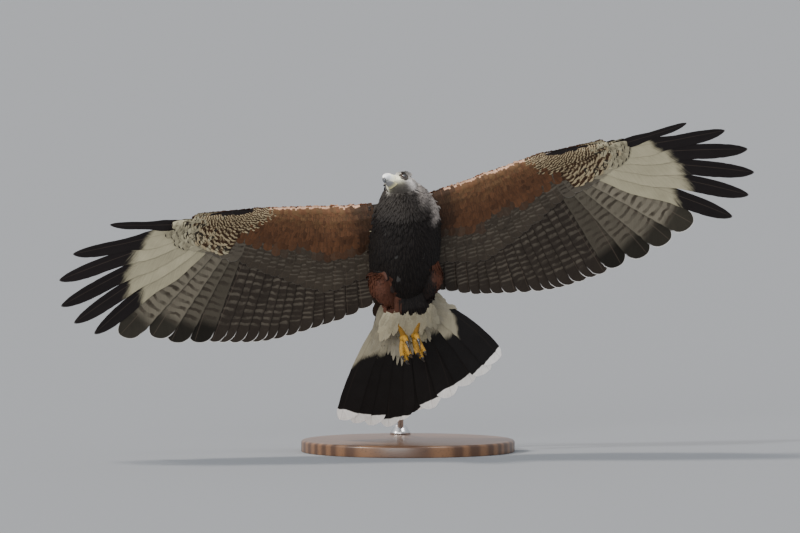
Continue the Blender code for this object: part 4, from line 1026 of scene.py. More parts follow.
# Start, length and height above the fan
UPPER_TIERS = ((0.02, 0.07, 3.0), (0.006, 0.056, 4.6), (-0.008, 0.044, 6.6))
for tier, (start, length, height) in enumerate(UPPER_TIERS):
    for index in range(13):
        share = (index + 0.5 * (tier % 2)) / 12
        turn = math.radians(-24 + 56 * share + draw.normal(0, 1.5))
        root = np.array((start, -0.026 + 0.062 * share))
        ahead = np.array((math.cos(turn), math.sin(turn)))
        end = root + length * draw.uniform(0.9, 1.05) * ahead
        top = DULL_WHITE if tier == 0 else BACK_BROWN
        batch.add(plan(root), plan(end), 0.02, COVERT, (10, 7), 0.35 * MM,
                  Look(top, rim=0.2), (share, 0.9, 0.05), tilt=2.0,
                  lift=lambda *at: height * MM * (1 - 0.5 * at[2]) + 1.2 * MM, cup=0.1, fray=0.2)
batch.finish(COVERT_FINISH, 0.003)

# %% [markdown]
# Under all feathers lies one skin. Its parts are lofted from the same sections as the
# solids, drawn in by the depth of the coat, and melted together on a fine voxel grid, so
# that trunk, neck, arms, thighs and the root of the tail flow into each other.

# %% Sections of the body
COAT = 3.5 * MM
TRUNK_RINGS = [(0.086, 0.001, 0.047, 0.042, 0.038), (0.068, 0.0, 0.053, 0.044, 0.044),
               (0.036, -0.003, 0.058, 0.044, 0.05), (0.0, -0.006, 0.058, 0.042, 0.051),
               (-0.035, -0.009, 0.054, 0.038, 0.047), (-0.062, -0.011, 0.045, 0.032, 0.038),
               (-0.084, -0.012, 0.031, 0.024, 0.026), (-0.098, -0.012, 0.015, 0.013, 0.012)]
NECK_RINGS = [(0.07, 0.0, 0.001, 0.05, 0.042), (0.086, 0.001, 0.002, 0.047, 0.04),
              (0.098, 0.002, 0.007, 0.04, 0.037), (0.109, 0.001, 0.011, 0.032, 0.032),
              (0.118, -0.002, 0.0135, 0.023, 0.024)]
TAIL_FLESH = [(-0.02, 0.014, 0.012), (-0.012, 0.02, 0.015), (0.02, 0.034, 0.014),
              (0.045, 0.038, 0.0105), (0.06, 0.036, 0.0072), (0.068, 0.03, 0.005)]
TAIL_MIDDLE = 0.006
LEG_MIDDLE = -0.0125
THIGH_PATH = [(-0.008, 0.038, -0.018, 0.019), (-0.03, 0.0395, -0.026, 0.0198),
              (-0.046, 0.034, -0.032, 0.015), (-0.058, 0.0275, -0.036, 0.0085)]
X_AXIS, Y_AXIS, Z_AXIS = np.eye(3)


def full_turn(sides):
    return np.arange(sides) * 2 * math.pi / sides


def oval(centre, across, upward, count, half_width, top, bottom=None):
    """A ring of points; its lower half may be flatter or deeper than its upper half."""
    turn = full_turn(count)
    rise = np.where(np.sin(turn) > 0, top, top if bottom is None else bottom) * np.sin(turn)
    return np.asarray(centre) + np.outer(np.cos(turn) * half_width, across) + np.outer(rise, upward)


def loft(rings):
    """A closed skin over rings of equally many points: its points and its faces."""
    rings = np.asarray(rings)
    count, sides = rings.shape[:2]
    points = np.vstack([rings.reshape(-1, 3), rings[0].mean(axis=0), rings[-1].mean(axis=0)])
    index = np.arange(count * sides).reshape(count, sides)
    turned = np.roll(index, -1, axis=1)
    faces = np.stack([index[:-1], turned[:-1], turned[1:], index[1:]], -1).reshape(-1, 4).tolist()
    for ring, middle, flip in ((0, count * sides, True), (count - 1, count * sides + 1, False)):
        for a, b in zip(index[ring], turned[ring]):
            faces.append([b, a, middle] if flip else [a, b, middle])
    return points, faces


def way_along(path, index, upward):
    """Across and up for a section of a path, square to the way it runs there."""
    before, after = path[max(index - 1, 0), :3], path[min(index + 1, len(path) - 1), :3]
    ahead = (after - before) / np.linalg.norm(after - before)
    across = np.cross(upward, ahead)
    across /= np.linalg.norm(across)
    return across, np.cross(ahead, across)


def tube(path, sides=16, flatten=1.0, upward=Z_AXIS):
    """Round sections along a path of points and radii."""
    path = np.asarray(path, float)
    return loft([oval(row[:3], *way_along(path, index, upward), sides, row[3], row[3] * flatten)
                 for index, row in enumerate(path)])


def mesh_of(parts, name):
    """One mesh from several lofts, each a closed shell with its faces outward."""
    work = bmesh.new()
    for points, faces in parts:
        made = [work.verts.new(point) for point in points]
        for face in faces:
            work.faces.new([made[index] for index in face])
    bmesh.ops.recalc_face_normals(work, faces=work.faces)
    mesh = bpy.data.meshes.new(name)
    work.to_mesh(mesh)
    work.free()
    return mesh


def sided(path, side, middle):
    path = np.array(path, float)
    path[:, 1] = path[:, 1] * side + middle
    return path


def arm_rings(side, inset):
    """Lens-shaped sections of one arm, drawn in by the coat."""
    rings = []
    chords = np.array((0.0, 0.03, 0.1, 0.22, 0.36, 0.5, 0.65, 0.8, 0.92, 1.0))
    for position in np.linspace(0.0, len(ARM_STATIONS) - 1.15, 36):
        forward, out = arm_place(position, chords * 0.97 + 0.012, side)
        half = np.maximum(arm_half_thickness(position, chords) - inset, 0.4 * MM)
        top = on_wing(forward, out, side, half)
        under = on_wing(forward, out, side, -half)
        rings.append(np.vstack([top, under[::-1]]))
    return rings


# %% [markdown]
# A voxel remesh lays a fine grid through all the closed shells at once and keeps only the
# outside, and a few rounds of smoothing take the steps of the grid away. A modifier is
# evaluated and kept as a plain mesh at once, so that the next step starts from clean faces.

# %% Melt the parts into one skin
def settled(piece, *modifiers):
    """Add modifiers given as (kind, settings), evaluate them and keep the plain mesh."""
    for kind, settings in modifiers:
        modifier = piece.modifiers.new(kind.lower(), kind)
        for key, value in settings.items():
            setattr(modifier, key, value)
    bpy.context.view_layer.update()
    depsgraph = bpy.context.evaluated_depsgraph_get()
    mesh = bpy.data.meshes.new_from_object(piece.evaluated_get(depsgraph))
    piece.modifiers.clear()
    piece.data = mesh
    return mesh


def melted(piece, voxel, rounds):
    settled(piece, ("REMESH", {"mode": "VOXEL", "voxel_size": voxel}),
            ("SMOOTH", {"factor": 0.5, "iterations": rounds}))


def carved(piece, tool, operation="DIFFERENCE"):
    """Join a tool to the piece or cut it out, and throw the tool away."""
    settled(piece, ("BOOLEAN", {"operation": operation, "solver": "MANIFOLD", "object": tool}))
    bpy.data.objects.remove(tool)


def dressed(mesh, material):
    mesh.materials.clear()
    mesh.materials.append(material)
    mesh.shade_smooth()


def body_parts(inset):
    """Trunk, neck, root of the tail, and for each side a thigh and an arm."""
    parts = [loft([oval((row[0], row[1], 0.0), Y_AXIS, Z_AXIS, 40, *(row[2:] - inset))
                   for row in smooth_rows(TRUNK_RINGS, 36)]),
             loft([oval(row[:3], Y_AXIS, Z_AXIS, 36, *(row[3:] - inset * 0.8))
                   for row in smooth_rows(NECK_RINGS, 18)]),
             loft([oval(on_tail(row[0], TAIL_MIDDLE, 0.0), TAIL_LEFT, TAIL_TOP, 28,
                        row[1] - 0.5 * inset, max(row[2] - 0.6 * inset, 0.003))
                   for row in smooth_rows(TAIL_FLESH, 18)])]
    for side in SIDES:
        path = smooth_rows(sided(THIGH_PATH, side, LEG_MIDDLE), 16)
        path[:, 3] -= inset * 0.6
        parts += [tube(path, 24), loft(arm_rings(side, 1.4 * MM))]
    return parts


skin = linked("skin", mesh_of(body_parts(COAT), "skin"))
melted(skin, 2.2 * MM, 6)
print("skin of the body:", len(skin.data.vertices), "points")

# %% [markdown]
# The hawk looks past the viewer, so the head has a frame of its own: x to the bill, z to the
# crown. Its skin is made on a finer grid, because the face has small forms: a brow ridge
# that shades the eye, full cheeks and a flat forehead. Then it becomes one with the body's.

# %% Head
HEAD_PLACE = (0.1172, -0.0026, 0.0118)
HEAD_FACING = (-0.62, 0.38, 0.69)  # right, up and towards the viewer
HEAD_TOP = (0.0, 0.6, -0.8)
SKULL_RINGS = [(-0.027, 0.007, 0.007, 0.008), (-0.0225, 0.0165, 0.0155, 0.016),
               (-0.012, 0.0222, 0.0205, 0.02), (0.0, 0.0228, 0.021, 0.02),
               (0.01, 0.0205, 0.0188, 0.0182), (0.018, 0.016, 0.015, 0.0152),
               (0.025, 0.0108, 0.0108, 0.012)]
EYE_PLACE = (0.0098, 0.0122, 0.003)
EYE_AXIS = (0.5, 0.86, 0.02)
EYE_RADIUS = 8.0 * MM
FACE_COAT = 1.9 * MM
CROWN_COAT = 1.2 * MM  # the crown's feathers stand a little higher


def head_axes():
    to_bird = BIRD.to_3x3().transposed()

    def seen(direction):
        right, up, towards = direction
        return to_bird @ (RIGHT * right + UP * up + TOWARDS * towards)

    forward = seen(HEAD_FACING).normalized()
    aside = seen(HEAD_TOP).cross(forward).normalized()
    return Matrix((forward, aside, forward.cross(aside))).transposed()


HEAD = Matrix.Translation(HEAD_PLACE) @ head_axes().to_4x4()
HEAD_TURN = np.array(HEAD.to_3x3())


def in_head(points):
    """Bird places in the head's own frame."""
    return (np.asarray(points) - np.array(HEAD_PLACE)) @ HEAD_TURN


def from_head(points):
    return np.asarray(points) @ HEAD_TURN.T + np.array(HEAD_PLACE)


def ball(place, radii, sides=24, rings=14):
    """A closed ellipsoid whose poles lie on its x axis."""
    return loft([oval(np.array(place) + X_AXIS * radii[0] * math.cos(angle), Y_AXIS, Z_AXIS,
                      sides, radii[1] * math.sin(angle), radii[2] * math.sin(angle))
                 for angle in np.linspace(0.06, math.pi - 0.06, rings)])


def eye_place(side):
    return np.array(EYE_PLACE) * (1, side, 1)


def eye_out(side):
    out = np.array(EYE_AXIS) * (1, side, 1)
    return out / np.linalg.norm(out)


def face_parts():
    parts = [loft([oval((row[0], 0.0, 0.0), Y_AXIS, Z_AXIS, 44,
                        *(row[1:] - FACE_COAT - (0.0, CROWN_COAT, 0.0)))
                   for row in smooth_rows(SKULL_RINGS, 40)])]
    brow = [(0.0215, 0.01, 0.0074, 0.0014), (0.015, 0.016, 0.0092, 0.0022),
            (0.007, 0.0194, 0.01, 0.0024), (-0.001, 0.02, 0.009, 0.001)]
    for side in SIDES:
        parts.append(ball(eye_place(side), (EYE_RADIUS + 0.4 * MM,) * 3))
        parts.append(tube(smooth_rows(sided(brow, side, 0.0), 12), 12))
    return parts


def head_form(name, parts):
    """An object from lofts that are given in the head's frame."""
    return linked(name, mesh_of([(from_head(points), faces) for points, faces in parts], name))


head_skin = head_form("head_skin", face_parts())
melted(head_skin, 0.85 * MM, 5)
carved(skin, head_skin, "UNION")
carved(skin, head_form("sockets", [
    ball(eye_place(side) + eye_out(side) * EYE_RADIUS * 0.75, (EYE_RADIUS * 0.95,) * 3)
    for side in SIDES]))
print("one skin:", len(skin.data.vertices), "points")

# %% [markdown]
# Every place on the skin belongs to a region: trunk, neck, head, thigh, arm or tail. The
# region and the place decide which way the coat lies, how large and how dense its feathers
# are and what colours they have.

# %% Regions of the skin
REGIONS = ("trunk", "neck", "tail", "thigh", "arm", "thigh", "arm", "head")


def taken_from(places, values, points):
    """For every point, the value of the place nearest to it."""
    tree = KDTree(len(places))
    for index, place in enumerate(places):
        tree.insert(place, index)
    tree.balance()
    return values[[tree.find(point)[1] for point in points]]


def region_of(points):
    shells = [part[0] for part in body_parts(COAT)] + [from_head(face_parts()[0][0])]
    names = np.repeat(REGIONS, [len(shell) for shell in shells])
    return taken_from(np.vstack(shells), names, points)


def mesh_points(mesh):
    points = np.empty(3 * len(mesh.vertices), dtype=np.float32)
    mesh.vertices.foreach_get("co", points)
    return points.reshape(-1, 3).astype(float)


def flat_noise(points, scale, seed):
    """Smooth seeded noise between -1 and 1."""
    draw = np.random.default_rng(seed)
    total = np.zeros(len(points))
    for _ in range(6):
        wave = draw.normal(0, 1, 3) * scale
        total += np.sin(points @ wave + draw.uniform(0, 2 * math.pi))
    return total / 3.5


def paint(colours, share, colour):
    return colours + (np.array(colour) - colours) * np.clip(share, 0, 1)[:, None]


# %% [markdown]
# The lie of the coat runs from the bill backwards, round the eyes, and down the thighs. Its
# feathers are smallest at the bill and largest at the root of the tail.

# %% The lie and size of the coat
skin_points = mesh_points(skin.data)
regions = region_of(skin_points)
print({name: int((regions == name).sum()) for name in sorted(set(REGIONS))})
is_head, is_neck, is_thigh, is_arm = (regions == name for name in ("head", "neck", "thigh", "arm"))
forward, left, up = skin_points.T
head = in_head(skin_points)
count = len(skin_points)

flow = np.tile((-1.0, 0.0, -0.05), (count, 1))
flow[:, 1] += np.where(forward > 0.05, np.sign(left) * 0.25, 0.0)
# On the face feathers spread from the bill and sweep round the eye
flow[is_head] = (head[is_head] - (0.036, 0.0, -0.002)) @ HEAD_TURN.T
outward = np.sign(left - LEG_MIDDLE)
knee = eased(forward, -0.022, -0.002)[:, None]
at_knee = np.column_stack([0 * outward - 0.25, 0.3 * outward, 0 * outward - 0.9])
along_thigh = np.array((-0.8, 0.0, -0.55)) * (1 - knee) + at_knee * knee
flow[is_thigh] = along_thigh[is_thigh]
flow /= np.linalg.norm(flow, axis=1, keepdims=True)

size = np.full(count, 1.45)
front = eased(head[:, 0], -0.01, 0.022)
for where, value in ((is_neck, 1.4 - 0.4 * eased(forward, 0.085, 0.118)), (is_thigh, 1.15),
                     (is_arm, 1.05), (regions == "tail", 2.2), (is_head, 0.82 - 0.42 * front)):
    size = np.where(where, value, size)

# %% [markdown]
# The colours are mixed as a painter would: a base for each region, then soft-edged patches
# for the nape, the cheeks, the lores, the brow and the vent, each where the photo or the
# species has it. Some of them are painted light: the pale of the cheeks and of the neck's
# side is partly painted sunlight, and the dark of the brow and round the eyes is painted shade.

# %% Colours of the coat
SOOT = (0.0061, 0.0048, 0.0046)
NECK_BROWN = (0.0158, 0.0126, 0.0104)
# pale of the neck's side, partly painted sunlight
NECK_PALE_AND_PAINTED_SUN = (0.27, 0.24, 0.222)
NECK_STREAK = (0.044, 0.039, 0.034)
FACE_GREY = (0.25, 0.225, 0.205)
CROWN_BROWN = (0.085, 0.066, 0.05)
BROW_PALE = (0.62, 0.59, 0.55)
# pale cheek, partly painted sunlight
PALE_CHEEK_AND_PAINTED_SUN = (0.7, 0.665, 0.635)
LORE_PALE = (0.86, 0.83, 0.6)
THROAT_GREY = (0.0612, 0.0544, 0.0476)
BRICK = (0.064, 0.0235, 0.0135)
VENT_CREAM = (0.292, 0.258, 0.176)


ground, mark = np.tile(SOOT, (count, 1)), np.tile(NECK_BROWN, (count, 1))
streak = np.full(count, 0.15)
patchy = flat_noise(skin_points, 90.0, 7)
ground = paint(ground, eased(up, 0.01, 0.03) * ~is_head, BACK_BROWN)
# The nape and the sides of the neck are paler and streaked. The pale patch on the neck's left
# side is partly the paler neck and partly painted sunlight along the neck's edge.
neckness = eased(forward, 0.08, 0.106) * (~is_head & ~is_thigh)
neckness *= 1 - 0.5 * eased(left, -0.012, 0.01)
pale_sunlit_neck_side = eased(left, 0.022, 0.04) * eased(forward, 0.068, 0.082)
behind_cheek = eased(left, 0.008, 0.022) * eased(forward, 0.096, 0.11)
pale_sunlit_neck_side = np.maximum(pale_sunlit_neck_side, 0.6 * behind_cheek) * ~is_head
ground = paint(paint(ground, neckness * 0.8, NECK_BROWN), pale_sunlit_neck_side * 0.85, NECK_PALE_AND_PAINTED_SUN)
mark = paint(paint(mark, neckness, NECK_STREAK), pale_sunlit_neck_side, NECK_PALE_AND_PAINTED_SUN)
streak += neckness * (0.35 + 0.3 * patchy)
# Head: brown crown, grey cheeks with dark streaks, pale lores and a grey throat, whose dark
# starts right under the bill and falls away behind. A pale patch on the cheek is partly
# painted sunlight, and the brow and a ring round each eye are painted dark as painted shade.
level = head[:, 2] + 0.45 * np.maximum(0.0, 0.018 - head[:, 0])
cheek = np.exp(-((head[:, 0] - 0.002) / 0.01) ** 2 - ((level - 0.001) / 0.006) ** 2)
lore = np.exp(-((head[:, 0] - 0.021) / 0.006) ** 2 - ((head[:, 2] + 0.001) / 0.006) ** 2)
brow = np.exp(-((head[:, 2] - 0.0105) / 0.003) ** 2) * eased(head[:, 0], 0.0, 0.006)
eye_away = np.minimum(*(np.linalg.norm(head - eye_place(side), axis=1) for side in SIDES))
face = np.tile(THROAT_GREY, (count, 1))
# The cheek's pale is partly painted sunlight; the brow and the ring round each eye get painted shade
for share, colour in ((eased(level, -0.0085, -0.0015), FACE_GREY), (cheek * 0.85, PALE_CHEEK_AND_PAINTED_SUN),
                      (eased(head[:, 2], -0.002, 0.006) * 0.6, BROW_PALE),
                      (eased(head[:, 2], 0.008, 0.016), CROWN_BROWN), (lore, LORE_PALE),
                      (0.8 * brow * (np.abs(head[:, 1]) > 0.01), SOOT),
                      (0.8 * (1 - eased(eye_away, 0.0086, 0.01)), SOOT)):
    face = paint(face, share, colour)
ground[is_head] = face[is_head]
mark[is_head] = paint(face, np.full(count, 0.6), SOOT)[is_head]
streak[is_head] = 0.55 * (1 - front[is_head])
# Thighs are brick red, and the belly's black reaches across the inner side of the left one
ground[is_thigh] = np.array(BRICK) * (1 + 0.25 * patchy[is_thigh, None])
mark[is_thigh] = np.array(BRICK) * 0.45
streak[is_thigh] = 0.35
inner_side = is_thigh * (1 - eased(left + 0.003 * patchy, 0.026, 0.033))
ground = paint(ground, inner_side * (left > LEG_MIDDLE), SOOT)
vent = (1 - eased(forward, -0.08, -0.07)) * (up < 0.012) * ~is_thigh
ground, mark = paint(ground, vent, VENT_CREAM), paint(mark, vent, VENT_CREAM)
streak = np.clip(streak, 0, 1)
fleck = 0.004 * ~is_head * ~is_thigh * (up < 0.0) * ~is_arm
# Where a root goes on the bake map: round the trunk or the head, and along it
around = np.where(is_head, np.arctan2(head[:, 2], head[:, 1]), np.arctan2(up, left - 0.003))
ahead = np.where(is_head, head[:, 0] * 12 + 0.5, forward * 3.5 + 0.5)
root_place = np.column_stack([around / (2 * math.pi) + 0.5, ahead, 0 * ahead])
for name, kind, values in (
        ("flow", "FLOAT_VECTOR", flow), ("size", "FLOAT", size), ("fleck", "FLOAT", fleck),
        ("ground", "FLOAT_COLOR", np.maximum(ground, 0.004)),
        ("mark", "FLOAT_COLOR", np.maximum(mark, 0.004)), ("root_place", "FLOAT_VECTOR", root_place),
        ("pattern_a", "FLOAT_VECTOR", np.column_stack([0 * streak, 0 * streak + 3, streak])),
        ("pattern_b", "FLOAT_VECTOR", np.tile((0.04, 0.0, 0.0), (count, 1)))):
    write_attribute(skin.data, name, kind, values)
print("colours on", count, "places of the skin")

# %% [markdown]
# One node tree scatters a region's coat. It strews points evenly over the skin, stands a
# feather on each along the lie of the coat, tips it up a little, and varies turn, size and
# tone from fixed seeds. The feathers are made real at the end: an export drops instances.

# %% The tree that scatters feathers
feeds = [("Skin", "Geometry"), ("Feather", "Object"), ("Where", "Float"), ("Spacing", "Float"),
         ("Tilt", "Float"), ("Seed", "Int"), ("Finish", "Material")]
COAT_TREE, t, given, out = new_group("coat", feeds, [("Coat", "Geometry")], "GeometryNodeTree")


def named(name, kind):
    return t.node("GeometryNodeInputNamedAttribute", {"Name": name}, data_type=kind).outputs["Attribute"]


def random(low, high, seed):
    return t.node("FunctionNodeRandomValue", {2: low, 3: high, "Seed": t.plus(given["Seed"], seed)},
                  data_type="FLOAT").outputs[1]


def stored(geometry, name, value, kind, domain="INSTANCE"):
    return t.node("GeometryNodeStoreNamedAttribute", {"Geometry": geometry, "Name": name, "Value": value},
                  data_type=kind, domain=domain).outputs[0]


strewn = t.node("GeometryNodeDistributePointsOnFaces",
                {"Mesh": given["Skin"], "Distance Min": given["Spacing"], "Seed": given["Seed"],
                 "Density Max": 2000000.0, "Density Factor": given["Where"]},
                distribute_method="POISSON").outputs
lie = t.node("FunctionNodeAxesToRotation",
             {"Primary Axis": strewn["Normal"], "Secondary Axis": named("flow", "FLOAT_VECTOR")},
             primary_axis="Z", secondary_axis="X").outputs[0]
tipped = t.times(given["Tilt"], random(-1.35, -0.65, 1))
euler = t.joined(random(-0.14, 0.14, 2), tipped, random(-0.16, 0.16, 3))
turned = t.node("FunctionNodeRotateRotation", {"Rotation": lie, "Rotate By": euler},
                rotation_space="LOCAL").outputs[0]
size = t.times(named("size", "FLOAT"), random(0.82, 1.18, 4))
shape = t.node("GeometryNodeObjectInfo", {"Object": given["Feather"]}).outputs["Geometry"]
coat = t.node("GeometryNodeInstanceOnPoints",
              {"Points": strewn["Points"], "Instance": shape, "Rotation": turned,
               "Scale": t.joined(size, size, size)}).outputs[0]
coat = stored(coat, "tone", random(0.0, 1.0, 5), "FLOAT")
flecked = t.math("LESS_THAN", random(0.0, 1.0, 6), named("fleck", "FLOAT"))
colour = t.node("GeometryNodeSwitch", {"Switch": flecked, "False": named("ground", "FLOAT_COLOR"),
                                       "True": (0.032, 0.031, 0.03)}, input_type="RGBA").outputs[0]
coat = stored(coat, "ground", colour, "FLOAT_COLOR")
coat = t.node("GeometryNodeRealizeInstances", {"Geometry": coat}).outputs[0]
# Each feather bakes to a small patch at its root's place on the skin's own map
middle = t.vectors("SUBTRACT", named("vane", "FLOAT_VECTOR"), (0.5, 0.5, 0.0))
patch = t.vectors("MULTIPLY", middle, (0.003, 0.003, 0.003))
bake = t.vectors("ADD", patch, named("root_place", "FLOAT_VECTOR"))
coat = stored(coat, "OFBake", bake, "FLOAT2", "CORNER")
t.feed(out["Coat"], t.node("GeometryNodeSetMaterial",
                           {"Geometry": coat, "Material": given["Finish"]}).outputs[0])
print("the coat's tree has", len(COAT_TREE.nodes), "nodes")


def small_feather(name, length, width, outline, rows=7, columns=5, cup=0.14, curl=0.1):
    """A feather of the coat: root at the origin, shaft along x, its outside up."""
    share = row_shares(rows)
    across = np.linspace(-0.5, 0.5, columns)
    breadth = np.interp(share, outline[:, 0], outline[:, 1])
    x = share[:, None] * length - 0.12 * width * (2 * np.abs(across)) ** 2 * (share ** 3)[:, None]
    y = across * breadth[:, None] * width
    z = -cup * width * (2 * across) ** 2 * np.ones((rows, 1)) - curl * length * share[:, None] ** 2
    points, faces, _, own = lens(np.stack([x + 0 * y, y, z], -1), 0.03 * width)
    mesh = quad_mesh(points, faces, name)
    write_attribute(mesh, "under", "FLOAT", np.ones(len(faces)), "FACE")
    write_map(mesh, "vane", own[faces.ravel()])
    return linked(name, mesh)


def grow_coat(name, feather, where, spacing, tilt, seed):
    """Scatter one region's coat; where is a density between 0 and 1 for every skin point."""
    source = linked(name, skin.data.copy())
    write_attribute(source.data, "where", "FLOAT", where)
    modifier = source.modifiers.new("coat", "NODES")
    modifier.node_group = COAT_TREE
    keys = {item.name: item.identifier for item in COAT_TREE.interface.items_tree
            if item.in_out == "INPUT"}
    for label, value in (("Feather", feather), ("Spacing", spacing), ("Seed", seed),
                         ("Tilt", math.radians(tilt)), ("Finish", BODY_FINISH)):
        modifier[keys[label]] = value
    modifier[keys["Where"] + "_use_attribute"] = True
    modifier[keys["Where"] + "_attribute_name"] = "where"
    mesh = settled(source)
    mesh.name = name
    for extra in ("flow", "size", "fleck", "where", "root_place"):
        if extra in mesh.attributes:
            mesh.attributes.remove(mesh.attributes[extra])
    hang(source)
    print(name, sum(len(face.vertices) - 2 for face in mesh.polygons), "triangles")


# %% [markdown]
# Four small feathers serve the whole coat: a broad one for the trunk, pointed ones for neck
# and face, and a flat one for the thighs, where the coat lies smooth. Every region has its
# own spacing and its own seed, and the eyes and the bill's root are left free.

# %% Grow the coat
BODY_FINISH = feather_material("body feather", 0.3, (0.05, 0.04, 0.03), 0.25)
POINTED = smooth_rows([(0.0, 0.4), (0.35, 0.9), (0.6, 1.0), (0.84, 0.66), (0.95, 0.34), (1.0, 0.08)], 60)
body_feather = small_feather("body_feather", 0.0105, 0.0062, COVERT)
neck_feather = small_feather("neck_feather", 0.01, 0.0036, POINTED)
thigh_feather = small_feather("thigh_feather", 0.011, 0.0056, COVERT, cup=0.06, curl=0.02)
face_feather = small_feather("face_feather", 0.009, 0.004, POINTED, rows=6, columns=4)

off_arm = np.where(is_arm, 1 - eased(np.abs(left + 0.004), 0.04, 0.052), 1.0)
trunk_share = ~is_head & ~is_neck & ~is_thigh & ~is_arm
below = up < 0.004
face_clear = eased(eye_away, 0.0092, 0.01) * (head[:, 0] < 0.0225)
grow_coat("coat_breast", body_feather, trunk_share * below, 3.4 * MM, 9.0, 21)
grow_coat("coat_back", body_feather, trunk_share * ~below, 4.0 * MM, 9.0, 22)
grow_coat("coat_shoulders", body_feather, is_arm * off_arm, 2.6 * MM, 8.0, 26)
grow_coat("coat_neck", neck_feather, is_neck, 2.5 * MM, 13.0, 23)
grow_coat("coat_thighs", thigh_feather, is_thigh, 2.1 * MM, 4.5, 24)
grow_coat("coat_head", face_feather, is_head * face_clear, 1.45 * MM, 10.0, 25)
for pattern in (body_feather, neck_feather, thigh_feather, face_feather):
    bpy.data.objects.remove(pattern)

# %% [markdown]
# Between the feathers the skin shows through here and there. It has the coat's own colours,
# mottled a little, so that no gap catches the eye, and it stands for the flesh of the solids.

# %% Finish of the skin
def skin_material():
    t = new_material("skin", 0.85, Specular_IOR_Level=0.2)
    mottle = t.noise(t.place(), 420.0, 3.0)
    return t.dress(t.lit(t.attribute("ground", "Color"), t.plus(t.times(mottle, 0.5), 0.75)))


dressed(skin.data, skin_material())
WINGS = ["wing_%s_%s" % (side, part) for side in SIDES.values()
         for part in ("upper_arm", "forearm", "hand")]
hang(skin, "torso", "neck", "head", "thigh_left", "thigh_right", "tail", *WINGS)

# %% [markdown]
# The eye is a whole ball, as in life, with a dark brown iris, a black pupil and a wet clear
# front. Two lids lie on it like a shallow ring and hold the coat back. A socket in the skin
# makes room for the ball.

# %% Eyes
LID_THICKNESS = 1.1 * MM
LID_OPENING = (6.2 * MM, 5.2 * MM)
PUPIL = 0.4  # share of the opening that is pupil


def eye_axes(side):
    """Forward along the opening, up, and out of the eye, in the head's frame."""
    out = eye_out(side)
    along = np.cross(Z_AXIS, out)
    along /= np.linalg.norm(along)
    return along, np.cross(out, along), out


def eye_dome(side, radius, angles, sides=48):
    """Rings on a ball about the eye's axis: angle from the axis for every ring and turn."""
    along, upward, out = eye_axes(side)
    turn = full_turn(sides)
    flat = np.cos(turn)[:, None] * along + np.sin(turn)[:, None] * upward
    rings = []
    for angle, reach in zip(angles, radius):
        angle = angle(turn) if callable(angle) else np.full(sides, angle)
        rings.append(eye_place(side) + reach * (np.sin(angle)[:, None] * flat
                                                + np.cos(angle)[:, None] * out))
    return rings


def opening_angle(turn):
    """How far the lids' edge is from the eye's axis, round the opening."""
    half_long, half_high = LID_OPENING
    reach = 1 / np.sqrt((np.cos(turn) / half_long) ** 2 + (np.sin(turn) / half_high) ** 2)
    return np.arcsin(reach / EYE_RADIUS)


def smooth_piece(name, parts, material):
    """A smooth piece of the head, made from lofts in the head's frame."""
    piece = head_form(name, parts)
    dressed(piece.data, material)
    return piece


def eye_material():
    t = new_material("eye", 0.12, Coat_Weight=1.0, Coat_Roughness=0.02)
    away, around = t.attribute("from_axis"), t.attribute("around")
    fibre = t.noise(t.joined(t.times(around, 14.0), t.times(away, 2.5)), 1.0, 3.0)
    iris = t.mix(fibre, (0.015, 0.008, 0.005), (0.038, 0.019, 0.01))
    iris = t.mix(t.step(away, 0.8, 1.0), iris, (0.008, 0.006, 0.005))
    return t.dress(t.mix(t.step(away, PUPIL - 0.03, PUPIL + 0.03), (0.002, 0.002, 0.002), iris))


def make_eye(side, finish):
    angles = np.linspace(0.02, math.pi - 0.02, 40)
    # The clear front stands a little proud of the ball
    bulge = EYE_RADIUS * (1 + 0.035 * np.clip(1 - (angles / 0.62) ** 2, 0, 1))
    piece = smooth_piece("eyeball_" + SIDES[side], [loft(eye_dome(side, bulge, angles))], finish)
    mesh = piece.data
    local = in_head(mesh_points(mesh)) - eye_place(side)
    along, upward, out = eye_axes(side)
    angle = np.arccos(np.clip(local @ out / np.linalg.norm(local, axis=1), -1, 1))
    turn = np.arctan2(local @ upward, local @ along)
    write_attribute(mesh, "from_axis", "FLOAT", angle / math.asin(LID_OPENING[0] / EYE_RADIUS))
    write_attribute(mesh, "around", "FLOAT", np.abs(turn))
    hang(piece, "eye_" + SIDES[side])


def lid_material():
    t = new_material("eyelid", 0.55, Specular_IOR_Level=0.35)
    wrinkle = t.noise(t.place(), 2600.0, 3.0)
    return t.dress(t.mix(wrinkle, (0.02, 0.017, 0.014), (0.07, 0.06, 0.048)), wrinkle, 0.4, 0.0002)


def make_lids(side, finish):
    """A ring round the opening with a rolled edge, thinning out under the coat."""
    steps = [(0.0, 0.1), (-0.02, 0.45), (0.0, 0.8), (0.05, 1.0), (0.12, 1.0), (0.22, 0.85),
             (0.36, 0.75), (0.52, 0.45), (0.62, 0.1), (0.6, -0.3), (0.3, -0.05), (0.1, 0.02)]
    angles = [lambda turn, extra=extra: opening_angle(turn) + extra for extra, _ in steps]
    radius = [EYE_RADIUS + 0.25 * MM + LID_THICKNESS * height for _, height in steps]
    rings = np.asarray(eye_dome(side, radius, angles))
    count, sides = rings.shape[:2]
    index = np.arange(count * sides).reshape(count, sides)
    after, beside = np.roll(index, -1, axis=0), np.roll(index, -1, axis=1)
    both = np.roll(after, -1, axis=1)
    faces = np.stack([index, beside, both, after], -1).reshape(-1, 4).tolist()
    hang(smooth_piece("lids_" + SIDES[side], [(rings.reshape(-1, 3), faces)], finish))


eye_finish, lid_finish = eye_material(), lid_material()
for side in SIDES:
    make_eye(side, eye_finish)
    make_lids(side, lid_finish)

